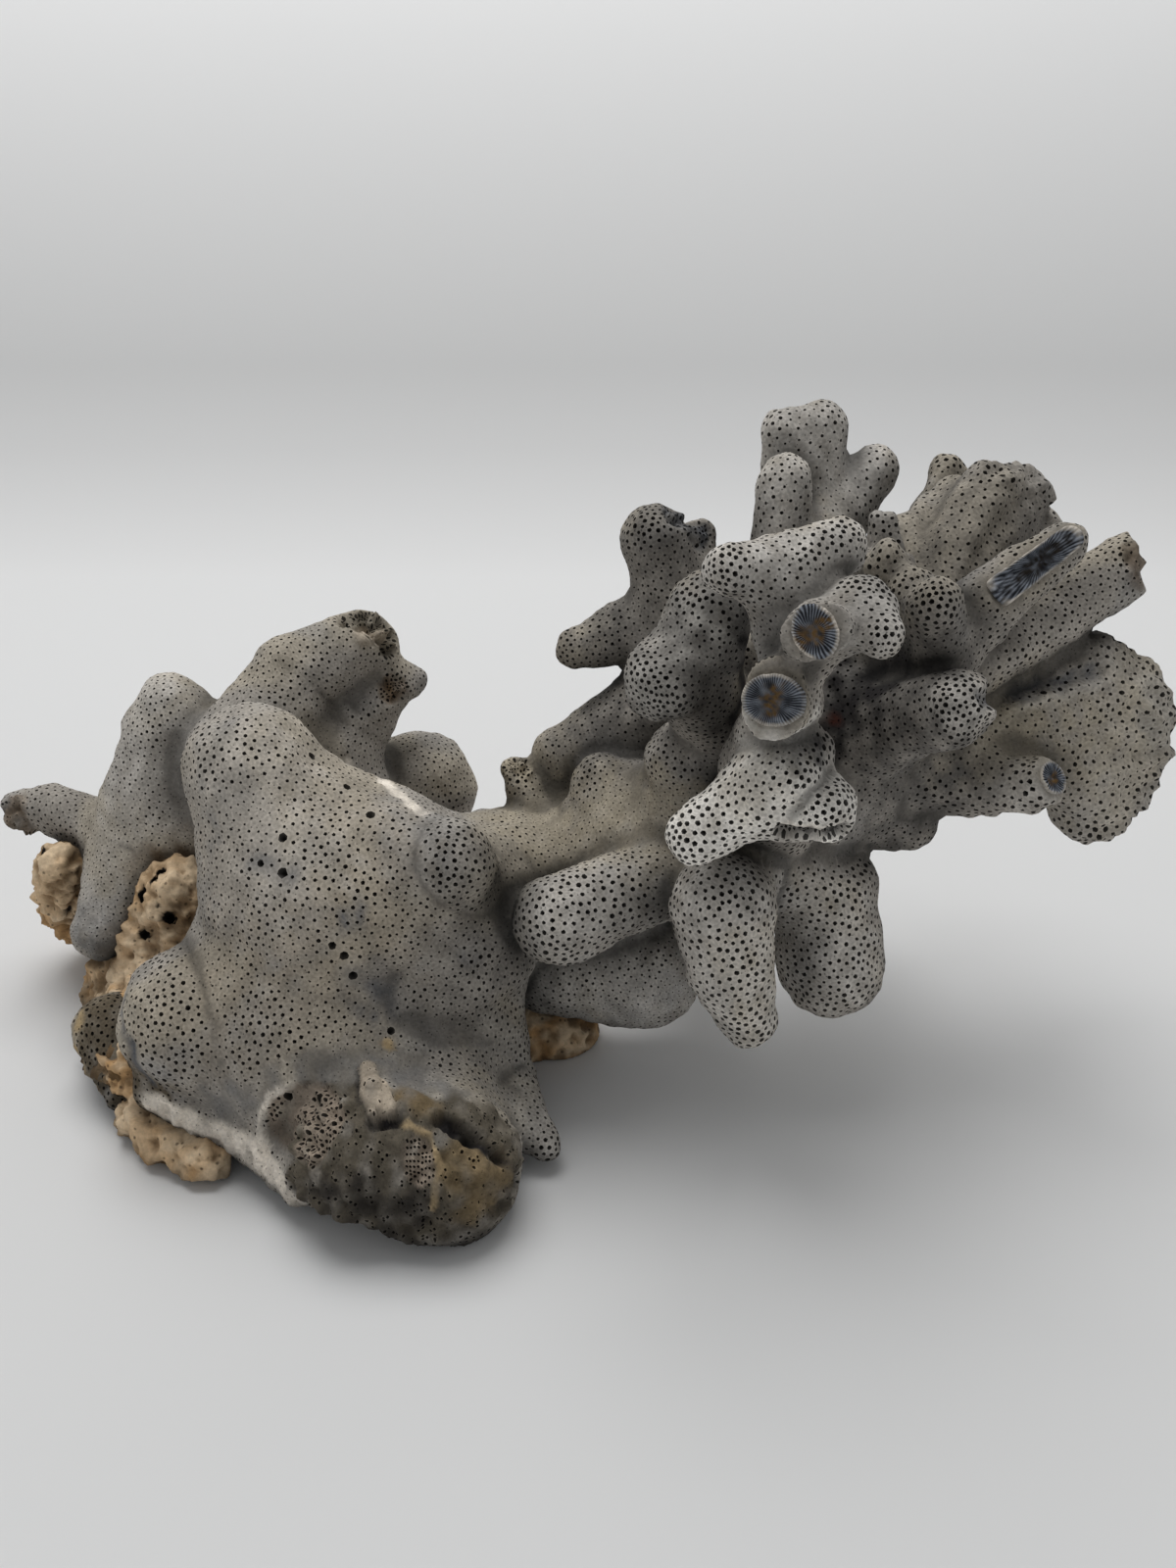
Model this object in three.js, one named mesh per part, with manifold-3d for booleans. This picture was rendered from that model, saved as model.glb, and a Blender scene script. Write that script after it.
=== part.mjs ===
// Branching coral with its stone: a lumpy crust over dead limestone and two stout columns behind it at the
// left, and a forking arm of blunt fingers and fans at the right.
// Millimetres, +Z up, +X towards the arm's tips, -Y towards the front. The foot is cut off flat at Z = 0.

import * as THREE from 'three';
import { mergeVertices } from 'three/addons/utils/BufferGeometryUtils.js';
import Module from 'manifold-3d';

const wasm = await Module();
wasm.setup();

// Driving dimensions: the size of a facet, the gaps between pieces, and the fillets where limbs join
const FACET = 4.4;
const SEAM_GAP = 0.6;
const CRUST_GAP = 0.8;
const FORK_FILLET = 2;
const BROAD = 9;
const SOFT = 3.5;
const TIGHT = 2;

// Working values of the faceting
const REACH = 6;
const GROUND = 300;
const OPEN_AIR = 0.2;
const FAR_AWAY = 1000;
const SETTLE_PASSES = 3;
const SLOPE_STEP = 0.05;
const LEAST_STEEPNESS = 0.3;
const WELD = 1e-4;

const CORAL = new THREE.MeshStandardMaterial({ color: 0x857f77, roughness: 0.9, metalness: 0 });
const LIMESTONE = new THREE.MeshStandardMaterial({ color: 0xa08a6a, roughness: 0.95, metalness: 0 });

// A limb is a rounded run through [x, y, z, radius] stations, with the fillet that joins it to its piece
function limb(fillet, ...stations) {
  return { fillet, stations };
}

// A broken limb ends in a flat face through a point, looking along the normal
function brokenLimb(fillet, point, normal, ...stations) {
  const face = new THREE.Plane();
  face.setFromNormalAndCoplanarPoint(new THREE.Vector3(...normal).normalize(), new THREE.Vector3(...point));
  return { fillet, stations, face };
}

// The crust overhangs the floor at its front left: a point on its edge, and the way its underside looks
const CRUST_EDGE = [-55, -30, 10];
const UNDER_CRUST = [-0.25, 0.4, -0.88];

// The foot overhangs the floor at its front left: a point on its edge, and the way its underside looks
const FOOT_EDGE = [-14, -48, 2];
const UNDER_FOOT = [-0.35, -0.25, -0.9];

// The limestone under the crust is hollowed above the floor: a point on the floor, and how it looks
const HOLLOW_START = [-40, -8, 0];
const HOLLOW_SIDE = [-0.15, -0.25, -1];

// The stalk's two side branches are broken off: a point on each face, and the way it looks
const LOW_END = [27, -38, 75];
const LOW_FACE = [-0.25, -1, 0.25];
const HIGH_END = [31, -40, 83];
const HIGH_FACE = [-0.15, -1, 0.35];

// The left column's stub and the longer right finger are broken off too
const STUB_END = [-92.2, 24, 29.2];
const STUB_FACE = [-0.91, 0, -0.41];
const FINGER_END = [85.5, 9, 78.2];
const FINGER_FACE = [0.93, -0.1, 0.36];

// The coral, split at its main forks
const BRANCHES = {
  // Crust: its body, the upper left lobe, the upper right lobe, the left lobe, the front, the foot,
  // the skirt that runs down to the right and its lower edge, the flank under the left lobe,
  // the broken edge, and the neck
  mound: [
    limb(BROAD, [-31, -8, 29, 18.5], [-36, -12, 18, 17.5]),
    limb(BROAD, [-42, -6, 51, 10], [-36, -8, 38, 13.5]),
    limb(BROAD, [-22, -12, 37, 11.5], [-13, -18, 43, 6]),
    brokenLimb(SOFT, CRUST_EDGE, UNDER_CRUST, [-43, -16, 18, 15], [-50.4, -20, 18.3, 11.1]),
    brokenLimb(BROAD, CRUST_EDGE, UNDER_CRUST, [-33, -22, 11, 14], [-19, -26, 7, 12.5]),
    brokenLimb(SOFT, FOOT_EDGE, UNDER_FOOT, [-23, -37, 8, 11.5], [-14, -38, 7, 11]),
    limb(SOFT, [-17, -12, 20, 13], [-8.7, -18, 6.3, 7], [0.4, -30, 3.7, 1.4]),
    limb(SOFT, [-12.2, -27, 8.4, 4.2], [-1, -30, 4.4, 1.8]),
    limb(TIGHT, [-67.5, -10, 9.1, 5.7], [-61.7, -17, 5.2, 5.3], [-54, -13, 15, 5]),
    limb(
      SOFT,
      [-55.6, -25, 9.6, 3.4], [-49.5, -27, 6.8, 3.5], [-43.1, -29.5, 6.1, 3.5],
      [-37.2, -34, 5.2, 3.4], [-32.9, -39, 4.8, 3.2],
    ),
    limb(BROAD, [-13, -8, 29, 11.5], [-6, -2, 31, 10.5]),
  ],
  // The left column and its side stub, the right column with its two broken tops, a low knob, and their root
  rear_columns: [
    limb(BROAD, [-62, 22, 48.5, 6.9], [-69, 18, 27, 8.5], [-72.5, 4.5, 18, 4.6]),
    brokenLimb(SOFT, STUB_END, STUB_FACE, [-94.5, 24, 30.2, 2.7], [-86, 24, 30.9, 4.3], [-76, 22, 27, 5.5]),
    limb(SOFT, [-49, 16, 43, 10], [-42, 24, 54, 7.5], [-31, 28, 59, 5.5]),
    limb(SOFT, [-38, 22, 38, 10], [-34, 26, 45, 7], [-27, 28, 52, 4]),
    limb(SOFT, [-27, 29, 51, 2.5], [-23, 31, 52, 2]),
    limb(SOFT, [-32, 32, 26, 10.5], [-24, 34, 30, 10]),
    limb(BROAD, [-58, 20, 22, 13.5], [-41, 22, 25, 13.5]),
  ],
  // The arm itself, its belly, two knuckles on top, a stub, the crown, a web, the front finger
  // and two fingers behind
  trunk: [
    limb(BROAD, [-10, 4, 27, 12], [6, 0, 32, 11], [21, -2, 39, 11.5], [38, -2, 47, 11.5], [49, 0, 54, 9]),
    limb(SOFT, [0, 0, 15, 8], [15, -2, 15, 9]),
    limb(SOFT, [9, 2, 45, 5.5], [18, 0, 42, 7.5]),
    limb(SOFT, [20, -6, 53, 6], [23, -4, 44, 7]),
    limb(TIGHT, [-2, 6, 39, 4], [-5, 8, 45, 2.5]),
    limb(BROAD, [41, 2, 61, 9], [54, 4, 67, 7.5]),
    limb(SOFT, [54, -2, 41, 4], [47, -2, 43, 6]),
    limb(SOFT, [54, -18, 66, 5], [47, -8, 59, 6]),
    limb(SOFT, [21, 22, 21, 7], [24, 4, 36, 9]),
    limb(SOFT, [45, 28, 28, 6], [40, 4, 45, 9]),
    limb(SOFT, [30, 9, 57, 6], [30, 9, 64, 5]),
  ],
  // Three fingers that hang under the arm, and the bridge they grow from
  lower_fingers: [
    limb(SOFT, [2, -18, 34, 6.5], [16, -12, 37, 6]),
    limb(SOFT, [24, -26, 41, 6.5], [25, -28, 33, 6], [28, -28, 24, 4]),
    limb(SOFT, [41, -10, 31, 7.5], [42, -12, 23, 8]),
    limb(SOFT, [24, -24, 39, 6], [28, -12, 40, 7], [41, -8, 34, 7]),
  ],
  front_prongs: [
    limb(SOFT, [19, -34, 55, 3.5], [26, -33, 60, 4.5]),
    limb(SOFT, [30, -33, 63, 5.2], [30.9, -34, 58.7, 3.8], [34.2, -35, 59.7, 4.3]),
    limb(SOFT, [33, -30, 65, 3], [31, -24, 59, 5]),
    limb(SOFT, [28, -28, 60, 4.5], [32, -12, 48, 7]),
  ],
  // The stalk, its two broken side branches, a knob, and the two-lobed head
  front_stalk: [
    limb(SOFT, [28, -23, 60, 5], [29, -31, 72, 3.6], [33, -33, 81, 3.3], [37, -32, 84, 3]),
    brokenLimb(TIGHT, LOW_END, LOW_FACE, [30, -30, 71, 3.4], [26, -42, 75, 3.4]),
    brokenLimb(TIGHT, LOW_END, LOW_FACE, [30, -30, 73.5, 3.4], [26, -42, 77.5, 3.4]),
    brokenLimb(TIGHT, HIGH_END, HIGH_FACE, [32, -32, 80.5, 2.8], [29, -44, 84.5, 2.8]),
    brokenLimb(TIGHT, HIGH_END, HIGH_FACE, [34, -32, 81.5, 2.8], [31, -44, 85.5, 2.8]),
    limb(SOFT, [38, -32, 84, 2.8], [39, -37, 82, 2.4]),
    limb(SOFT, [22.7, -28, 87.4, 3.2], [29, -26, 86, 4.5], [36, -24, 89, 3.5]),
    limb(SOFT, [29, -25, 85, 4.5], [30, -26, 78, 3.5]),
  ],
  left_finger: [
    limb(SOFT, [15.6, -19, 70.1, 4.3], [22.3, -16, 77.9, 4.5]),
    limb(SOFT, [15.6, -19, 70.1, 4.3], [21.3, -12, 66.7, 5]),
    limb(SOFT, [21.3, -16, 78.6, 4.4], [21.3, -12, 66.7, 5], [24.9, -5, 55.8, 5.9]),
  ],
  left_rear_branch: [
    limb(SOFT, [2, 11, 46, 5], [12, 13, 51, 6.5], [23, 14, 58, 7], [29, 8, 57, 6]),
    limb(SOFT, [4, 14, 63, 3], [12, 16, 65, 5], [21, 16, 65, 6.5]),
    limb(SOFT, [16, 16, 80, 5], [19, 16, 68, 5.5]),
    limb(SOFT, [23, 20, 79, 2.5], [23, 18, 70, 3.5]),
    limb(SOFT, [3, 10, 40, 4.5], [12, 10, 46, 5]),
  ],
  top_branch: [
    limb(SOFT, [37, 33, 92, 4], [40, 32, 80, 5.5], [41, 20, 71, 6.5], [41, 12, 65, 6]),
    limb(SOFT, [43, 34, 93, 4], [41, 32, 80, 5.5]),
    limb(SOFT, [52, 36, 86, 4], [44, 30, 76, 5.5]),
    limb(SOFT, [36, 22, 87, 4], [35, 20, 75, 4.5]),
  ],
  rear_fan: [
    limb(SOFT, [67, 22, 86, 4], [59, 14, 74, 5], [53, 8, 67, 5]),
    limb(SOFT, [73, 26, 84, 4.5], [63, 16, 72, 5]),
    limb(SOFT, [78, 28, 78, 3], [68, 18, 70, 4.5]),
    limb(SOFT, [63, 28, 84, 2.5], [54, 20, 77, 4], [51, 12, 69, 5]),
    limb(TIGHT, [64, 36, 85, 3], [57, 26, 74, 3]),
    limb(TIGHT, [47, -2, 81, 3], [50, 2, 75, 4]),
    limb(TIGHT, [48, 8, 84, 2], [49, 6, 76, 3.5]),
    limb(TIGHT, [45, 4, 78, 3], [47, 4, 70, 4.5]),
  ],
  right_fingers: [
    limb(SOFT, [70.3, -3, 83.6, 3.2], [60.3, -5, 76, 4.8], [53, -5, 67, 5.2]),
    brokenLimb(SOFT, FINGER_END, FINGER_FACE, [86.4, 9, 78.7, 4.3], [72, 6, 70, 5.4], [58, 1, 64, 6]),
    limb(SOFT, [51, -14, 79, 3.5], [53, -8, 69, 4.5]),
    limb(SOFT, [50, -6, 78, 3.5], [50, -2, 70, 4.5]),
  ],
  right_fan: [
    limb(SOFT, [75.7, 8, 62.5, 4], [58, 0, 51, 6.5]),
    limb(SOFT, [78.5, 8, 63.2, 3.8], [69, 3, 56, 4.5]),
    limb(SOFT, [81.1, 6, 63, 4.1], [69, 3, 56, 4.5], [54, 0, 50, 6.5]),
    limb(SOFT, [85.4, 6, 61.1, 3.8], [72, 2, 53, 4.5]),
    limb(SOFT, [88.4, 5, 58.7, 3.9], [72, 2, 53, 4.5], [54, 0, 49, 6.5]),
    limb(SOFT, [89.3, 5, 54.4, 3.7], [72, 2, 53, 4.5]),
    limb(SOFT, [89.1, 4, 50.9, 4], [72, 1, 49, 4.5]),
    limb(SOFT, [87.4, 3, 46, 4.2], [76.9, 2, 49.5, 4.4]),
    limb(SOFT, [84.5, 2, 42.5, 4.5], [76.9, 2, 49.5, 4.4]),
    limb(SOFT, [81.3, 1, 40.6, 3.9], [76.9, 2, 49.5, 4.4]),
    limb(SOFT, [69.2, -9, 50.6, 3.9], [61.4, -3, 47.9, 4.9]),
  ],
};

// The dead limestone that the coral grew over: the lump under the crust, the part beside the left column,
// the left flank, the ledge under the left column, the tongue under the arm, the rear, the front left,
// and an edge under the crust
const LIMESTONE_LUMPS = [
  brokenLimb(BROAD, HOLLOW_START, HOLLOW_SIDE, [-37, -2, -2, 21], [-59, -4, -1, 17]),
  limb(SOFT, [-59.7, 7, 22.8, 7.5], [-57, 6, 8, 9]),
  limb(SOFT, [-70, 7, 6, 7.5], [-60, 2, 4, 9]),
  limb(SOFT, [-82, 16, 23.5, 4.6], [-85, 24, 12, 5.5], [-69, 32, -1, 11]),
  limb(SOFT, [-14, 4, -2, 15.5], [0, 2, 1, 8]),
  limb(SOFT, [-57, 31, 2, 18], [-34, 31, -2, 16]),
  brokenLimb(SOFT, HOLLOW_START, HOLLOW_SIDE, [-59, -13, 3, 11], [-46, -16, 2, 12.5]),
  limb(SOFT, [-62, -22, 2.4, 2.4], [-58.4, -25, 3, 2.6], [-51.3, -30.5, 3, 2.8], [-47.5, -32.5, 3, 2.6]),
  limb(SOFT, [-56, -27, 3, 2.6], [-52, -13, 3, 7]),
];

// Distance to a round bar whose radius runs evenly from one station to the next
function barDistance(x, y, z, [ax, ay, az, ar], [bx, by, bz, br]) {
  const dx = bx - ax;
  const dy = by - ay;
  const dz = bz - az;
  const along = ((x - ax) * dx + (y - ay) * dy + (z - az) * dz) / (dx * dx + dy * dy + dz * dz);
  const t = Math.min(1, Math.max(0, along));
  return Math.hypot(x - ax - t * dx, y - ay - t * dy, z - az - t * dz) - ar - t * (br - ar);
}

function limbDistance({ stations, face }, x, y, z) {
  let distance = FAR_AWAY;
  for (let i = 1; i < stations.length; i++) {
    distance = Math.min(distance, barDistance(x, y, z, stations[i - 1], stations[i]));
  }
  if (!face) {
    return distance;
  }
  return Math.max(distance, face.normal.x * x + face.normal.y * y + face.normal.z * z + face.constant);
}

// Union of two distances with a fillet between them
function join(a, b, fillet) {
  const overlap = Math.max(0, fillet - Math.abs(a - b)) / fillet;
  return Math.min(a, b) - (overlap * overlap * fillet) / 4;
}

function pieceDistance(limbs, x, y, z) {
  return limbs.reduce((sum, part) => join(sum, limbDistance(part, x, y, z), part.fillet), FAR_AWAY);
}

const names = Object.keys(BRANCHES);

function branchDistances(x, y, z) {
  return names.map((name) => pieceDistance(BRANCHES[name], x, y, z));
}

function skinDistance(distances) {
  return distances.reduce((sum, distance) => join(sum, distance, FORK_FILLET), FAR_AWAY);
}

// The coral's skin as far as one branch is the nearest, cut back by half a seam from the others
function branchField(index) {
  return (x, y, z) => {
    const distances = branchDistances(x, y, z);
    const others = Math.min(...distances.filter((_, other) => other !== index));
    return Math.max(skinDistance(distances), (distances[index] - others + SEAM_GAP) / 2);
  };
}

// The limestone, hollowed where the coral sits on it
function limestoneField(x, y, z) {
  const aboveSkin = skinDistance(branchDistances(x, y, z));
  return Math.max(pieceDistance(LIMESTONE_LUMPS, x, y, z), CRUST_GAP - aboveSkin);
}

// Box around some limbs, in grid steps. All pieces share one grid, so the two sides of a seam run alongside.
function gridBox(limbs) {
  const box = new THREE.Box3();
  for (const { stations } of limbs) {
    for (const [x, y, z, radius] of stations) {
      const middle = new THREE.Vector3(x, y, z);
      box.expandByPoint(middle.clone().subScalar(radius + REACH));
      box.expandByPoint(middle.clone().addScalar(radius + REACH));
    }
  }
  box.min.divideScalar(FACET).floor();
  box.max.divideScalar(FACET).ceil();
  return box;
}

const AXES = [[1, 0, 0], [0, 1, 0], [0, 0, 1]];
const SQUARE = [[0, 0], [1, 0], [1, 1], [0, 1]];
const CORNERS = [];
for (let bits = 0; bits < 8; bits++) {
  CORNERS.push([bits & 1, (bits >> 1) & 1, (bits >> 2) & 1]);
}

// A field's values on the grid
class Grid {
  constructor(field, limbs) {
    this.box = gridBox(limbs);
    this.size = this.box.getSize(new THREE.Vector3()).addScalar(1).toArray();
    this.values = new Float32Array(this.size[0] * this.size[1] * this.size[2]);
    this.forEach(0, (i, j, k) => {
      this.values[this.index(i, j, k)] = field(...this.place(i, j, k));
    });
  }

  index(i, j, k) {
    return i + this.size[0] * (j + this.size[1] * k);
  }

  place(i, j, k) {
    return [this.box.min.x + i, this.box.min.y + j, this.box.min.z + k].map((steps) => steps * FACET);
  }

  // Calls back for every grid point that is short of the far end by the margin
  forEach(margin, visit) {
    const [nx, ny, nz] = this.size.map((count) => count - margin);
    for (let k = 0; k < nz; k++) {
      for (let j = 0; j < ny; j++) {
        for (let i = 0; i < nx; i++) {
          visit(i, j, k);
        }
      }
    }
  }

  // Grid points, or cells, at the corners of the square that two axes span from a point, on a given side
  square([i, j, k], u, w, side) {
    return SQUARE.map(([p, q]) => this.index(
      i + side * (p * u[0] + q * w[0]),
      j + side * (p * u[1] + q * w[1]),
      k + side * (p * u[2] + q * w[2]),
    ));
  }

  // Two solid corners that face each other across a grid square, with air at the other two, would pinch
  // the surface to a line: the shallower one is opened to air, until no such square is left
  openPinches() {
    let opened = 0;
    this.forEach(1, (i, j, k) => {
      AXES.forEach((u, n) => {
        const corners = this.square([i, j, k], u, AXES[(n + 1) % 3], 1);
        const solid = corners.map((corner) => this.values[corner] < 0);
        if (solid[0] !== solid[2] || solid[1] !== solid[3] || solid[0] === solid[1]) {
          return;
        }
        const [a, b] = corners.filter((_, corner) => solid[corner]);
        this.values[this.values[a] > this.values[b] ? a : b] = OPEN_AIR;
        opened++;
      });
    });
    if (opened) {
      this.openPinches();
    }
  }
}

// Mean place, within a unit cell, where the surface crosses its edges, or nothing if it doesn't
function crossing(values) {
  const sum = new THREE.Vector3();
  let count = 0;
  for (let a = 0; a < CORNERS.length; a++) {
    for (const bit of [1, 2, 4]) {
      const b = a | bit;
      if (a === b || values[a] < 0 === values[b] < 0) {
        continue;
      }
      const from = new THREE.Vector3(...CORNERS[a]);
      sum.add(from.lerp(new THREE.Vector3(...CORNERS[b]), values[a] / (values[a] - values[b])));
      count++;
    }
  }
  return count ? sum.divideScalar(count).toArray() : null;
}

// Moves a point along the field's slope onto its zero surface
function settle(field, point) {
  for (let pass = 0; pass < SETTLE_PASSES; pass++) {
    const [x, y, z] = point;
    const value = field(x, y, z);
    const ahead = [field(x + SLOPE_STEP, y, z), field(x, y + SLOPE_STEP, z), field(x, y, z + SLOPE_STEP)];
    const slope = ahead.map((next) => (next - value) / SLOPE_STEP);
    const steepness = Math.max(LEAST_STEEPNESS, slope[0] ** 2 + slope[1] ** 2 + slope[2] ** 2);
    point = point.map((along, axis) => along - (value * slope[axis]) / steepness);
  }
  return point;
}

// Closed facets on a field's zero surface: a vertex in each grid cell that the surface crosses, and two
// triangles around each grid edge that it crosses
function facets(field, limbs) {
  const grid = new Grid(field, limbs);
  grid.openPinches();
  const vertexOf = new Map();
  const positions = [];
  const triangles = [];
  grid.forEach(1, (i, j, k) => {
    const middle = crossing(CORNERS.map(([a, b, c]) => grid.values[grid.index(i + a, j + b, k + c)]));
    if (middle) {
      vertexOf.set(grid.index(i, j, k), positions.length / 3);
      positions.push(...settle(field, grid.place(i + middle[0], j + middle[1], k + middle[2])));
    }
  });
  grid.forEach(1, (i, j, k) => {
    AXES.forEach((axis, n) => {
      const solid = grid.values[grid.index(i, j, k)] < 0;
      const solidNext = grid.values[grid.index(i + axis[0], j + axis[1], k + axis[2])] < 0;
      if (solid === solidNext) {
        return;
      }
      const cells = grid.square([i, j, k], AXES[(n + 1) % 3], AXES[(n + 2) % 3], -1);
      const [a, b, c, d] = (solid ? cells : cells.reverse()).map((cell) => vertexOf.get(cell));
      triangles.push(a, b, c, a, c, d);
    });
  });
  const geometry = new THREE.BufferGeometry();
  geometry.setAttribute('position', new THREE.Float32BufferAttribute(positions, 3));
  geometry.setIndex(triangles);
  return geometry;
}

function solidOf(geometry) {
  const bare = geometry.clone();
  bare.deleteAttribute('normal');
  bare.deleteAttribute('uv');
  const merged = mergeVertices(bare, WELD);
  const vertProperties = new Float32Array(merged.attributes.position.array);
  const triVerts = new Uint32Array(merged.index.array);
  return new wasm.Manifold(new wasm.Mesh({ numProp: 3, vertProperties, triVerts }));
}

function geometryOf(solid) {
  const { vertProperties, triVerts } = solid.getMesh();
  const geometry = new THREE.BufferGeometry();
  geometry.setAttribute('position', new THREE.Float32BufferAttribute(vertProperties, 3));
  geometry.setIndex(new THREE.Uint32BufferAttribute(triVerts, 1));
  geometry.computeVertexNormals();
  return geometry;
}

const aboveGround = solidOf(new THREE.BoxGeometry(GROUND, GROUND, GROUND).translate(0, 0, GROUND / 2));

function piece(name, field, limbs, material) {
  const solid = solidOf(facets(field, limbs)).intersect(aboveGround);
  const mesh = new THREE.Mesh(geometryOf(solid), material);
  mesh.name = name;
  return mesh;
}

const coral = new THREE.Group();
names.forEach((name, index) => coral.add(piece(name, branchField(index), BRANCHES[name], CORAL)));
coral.add(piece('limestone_base', limestoneField, LIMESTONE_LUMPS, LIMESTONE));

export default coral;
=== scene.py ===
"""Branching coral on its dead limestone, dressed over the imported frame.

The skin is grown from the same limbs as the frame, as a mesh with real pores. Sizes are in millimetres until
a mesh is handed to Blender, which takes metres.
"""

import math
from collections import namedtuple
from dataclasses import dataclass
from functools import cached_property, partial

import bpy
import numpy as np
import openvdb
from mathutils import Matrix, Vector, kdtree


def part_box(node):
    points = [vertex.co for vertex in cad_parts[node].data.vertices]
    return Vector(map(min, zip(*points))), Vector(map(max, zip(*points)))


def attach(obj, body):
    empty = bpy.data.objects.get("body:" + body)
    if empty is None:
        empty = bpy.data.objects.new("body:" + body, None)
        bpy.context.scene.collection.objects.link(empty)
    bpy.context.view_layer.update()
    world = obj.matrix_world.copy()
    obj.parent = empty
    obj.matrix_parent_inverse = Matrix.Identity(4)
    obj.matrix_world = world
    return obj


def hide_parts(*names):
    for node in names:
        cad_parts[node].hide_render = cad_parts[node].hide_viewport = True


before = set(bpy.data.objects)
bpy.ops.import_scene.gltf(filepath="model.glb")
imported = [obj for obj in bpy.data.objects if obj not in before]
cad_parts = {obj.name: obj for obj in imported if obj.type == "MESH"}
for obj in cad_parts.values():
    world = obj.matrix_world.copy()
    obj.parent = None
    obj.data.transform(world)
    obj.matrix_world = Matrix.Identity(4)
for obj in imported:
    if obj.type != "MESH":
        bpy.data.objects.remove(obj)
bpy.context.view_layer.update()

MM = 0.001
SEED = 7
TINY = 1e-9
SCREEN_GAMMA = 2.2

# Plane waves in a layer of noise, and how their lengths spread
WAVES = 20
WAVE_SPREAD = (0.7, 1.4)

# The photograph's camera
PHOTO_WIDTH = 1200
PHOTO_HEIGHT = 1600
FOCAL_PIXELS = 1350
SENSOR = 36
EYE = np.array([6.0, -179.0, 130.0])
PITCH = math.radians(25)
FORWARD = np.array([0, math.cos(PITCH), -math.sin(PITCH)])
RIGHT = np.array([1.0, 0, 0])
UP = np.array([0, math.sin(PITCH), math.cos(PITCH)])
NEAR_CLIP = 0.01
NEAR_REACH = 100.0
FAR_REACH = 330.0

# The grid that the shapes are worked out on
GRID_STEP = 0.5
GRID_MARGIN = 5
OPEN_AIR = 30
LIMB_MARGIN = 12
NODE_BOXES = np.array([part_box(node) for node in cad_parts]) / MM
GRID_LOW = np.floor(NODE_BOXES[:, 0].min(0) - GRID_MARGIN)
GRID_HIGH = np.ceil(NODE_BOXES[:, 1].max(0) + GRID_MARGIN)
GRID_SIZE = np.ceil((GRID_HIGH - GRID_LOW) / GRID_STEP).astype(int) + 1

# Fillets where limbs join
FORK_FILLET = 2
BROAD = 9
SOFT = 3.5
TIGHT = 2


def length(vectors):
    return np.linalg.norm(vectors, axis=-1)


def unit(vectors):
    return vectors / np.maximum(length(vectors)[..., None], TINY)


def limb(fillet, *stations):
    """A rounded run through (x, y, z, radius) stations, with the fillet that joins it to its branch."""
    return {"fillet": fillet, "stations": np.array(stations, float), "face": None}


def broken_limb(fillet, point, normal, *stations):
    """A limb that ends in a flat face through a point."""
    part = limb(fillet, *stations)
    part["face"] = (np.array(point, float), unit(np.array(normal, float)))
    return part


broad = partial(limb, BROAD)
soft = partial(limb, SOFT)
tight = partial(limb, TIGHT)

# The crust and the foot overhang the floor, and the limestone under the crust is hollowed
CRUST_EDGE = (-55, -30, 10)
UNDER_CRUST = (-0.25, 0.4, -0.88)
FOOT_EDGE = (-14, -48, 2)
UNDER_FOOT = (-0.35, -0.25, -0.9)
HOLLOW_START = (-40, -8, 0)
HOLLOW_SIDE = (-0.15, -0.25, -1)

# The stalk's two broken side branches
LOW_END = (27, -38, 75)
LOW_FACE = (-0.25, -1, 0.25)
HIGH_END = (31, -40, 83)
HIGH_FACE = (-0.15, -1, 0.35)

# The broken ends of the left column's stub and the longer right finger
STUB_END = (-92.2, 24, 29.2)
STUB_FACE = (-0.91, 0, -0.41)
FINGER_END = (85.5, 9, 78.2)
FINGER_FACE = (0.93, -0.1, 0.36)

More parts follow.
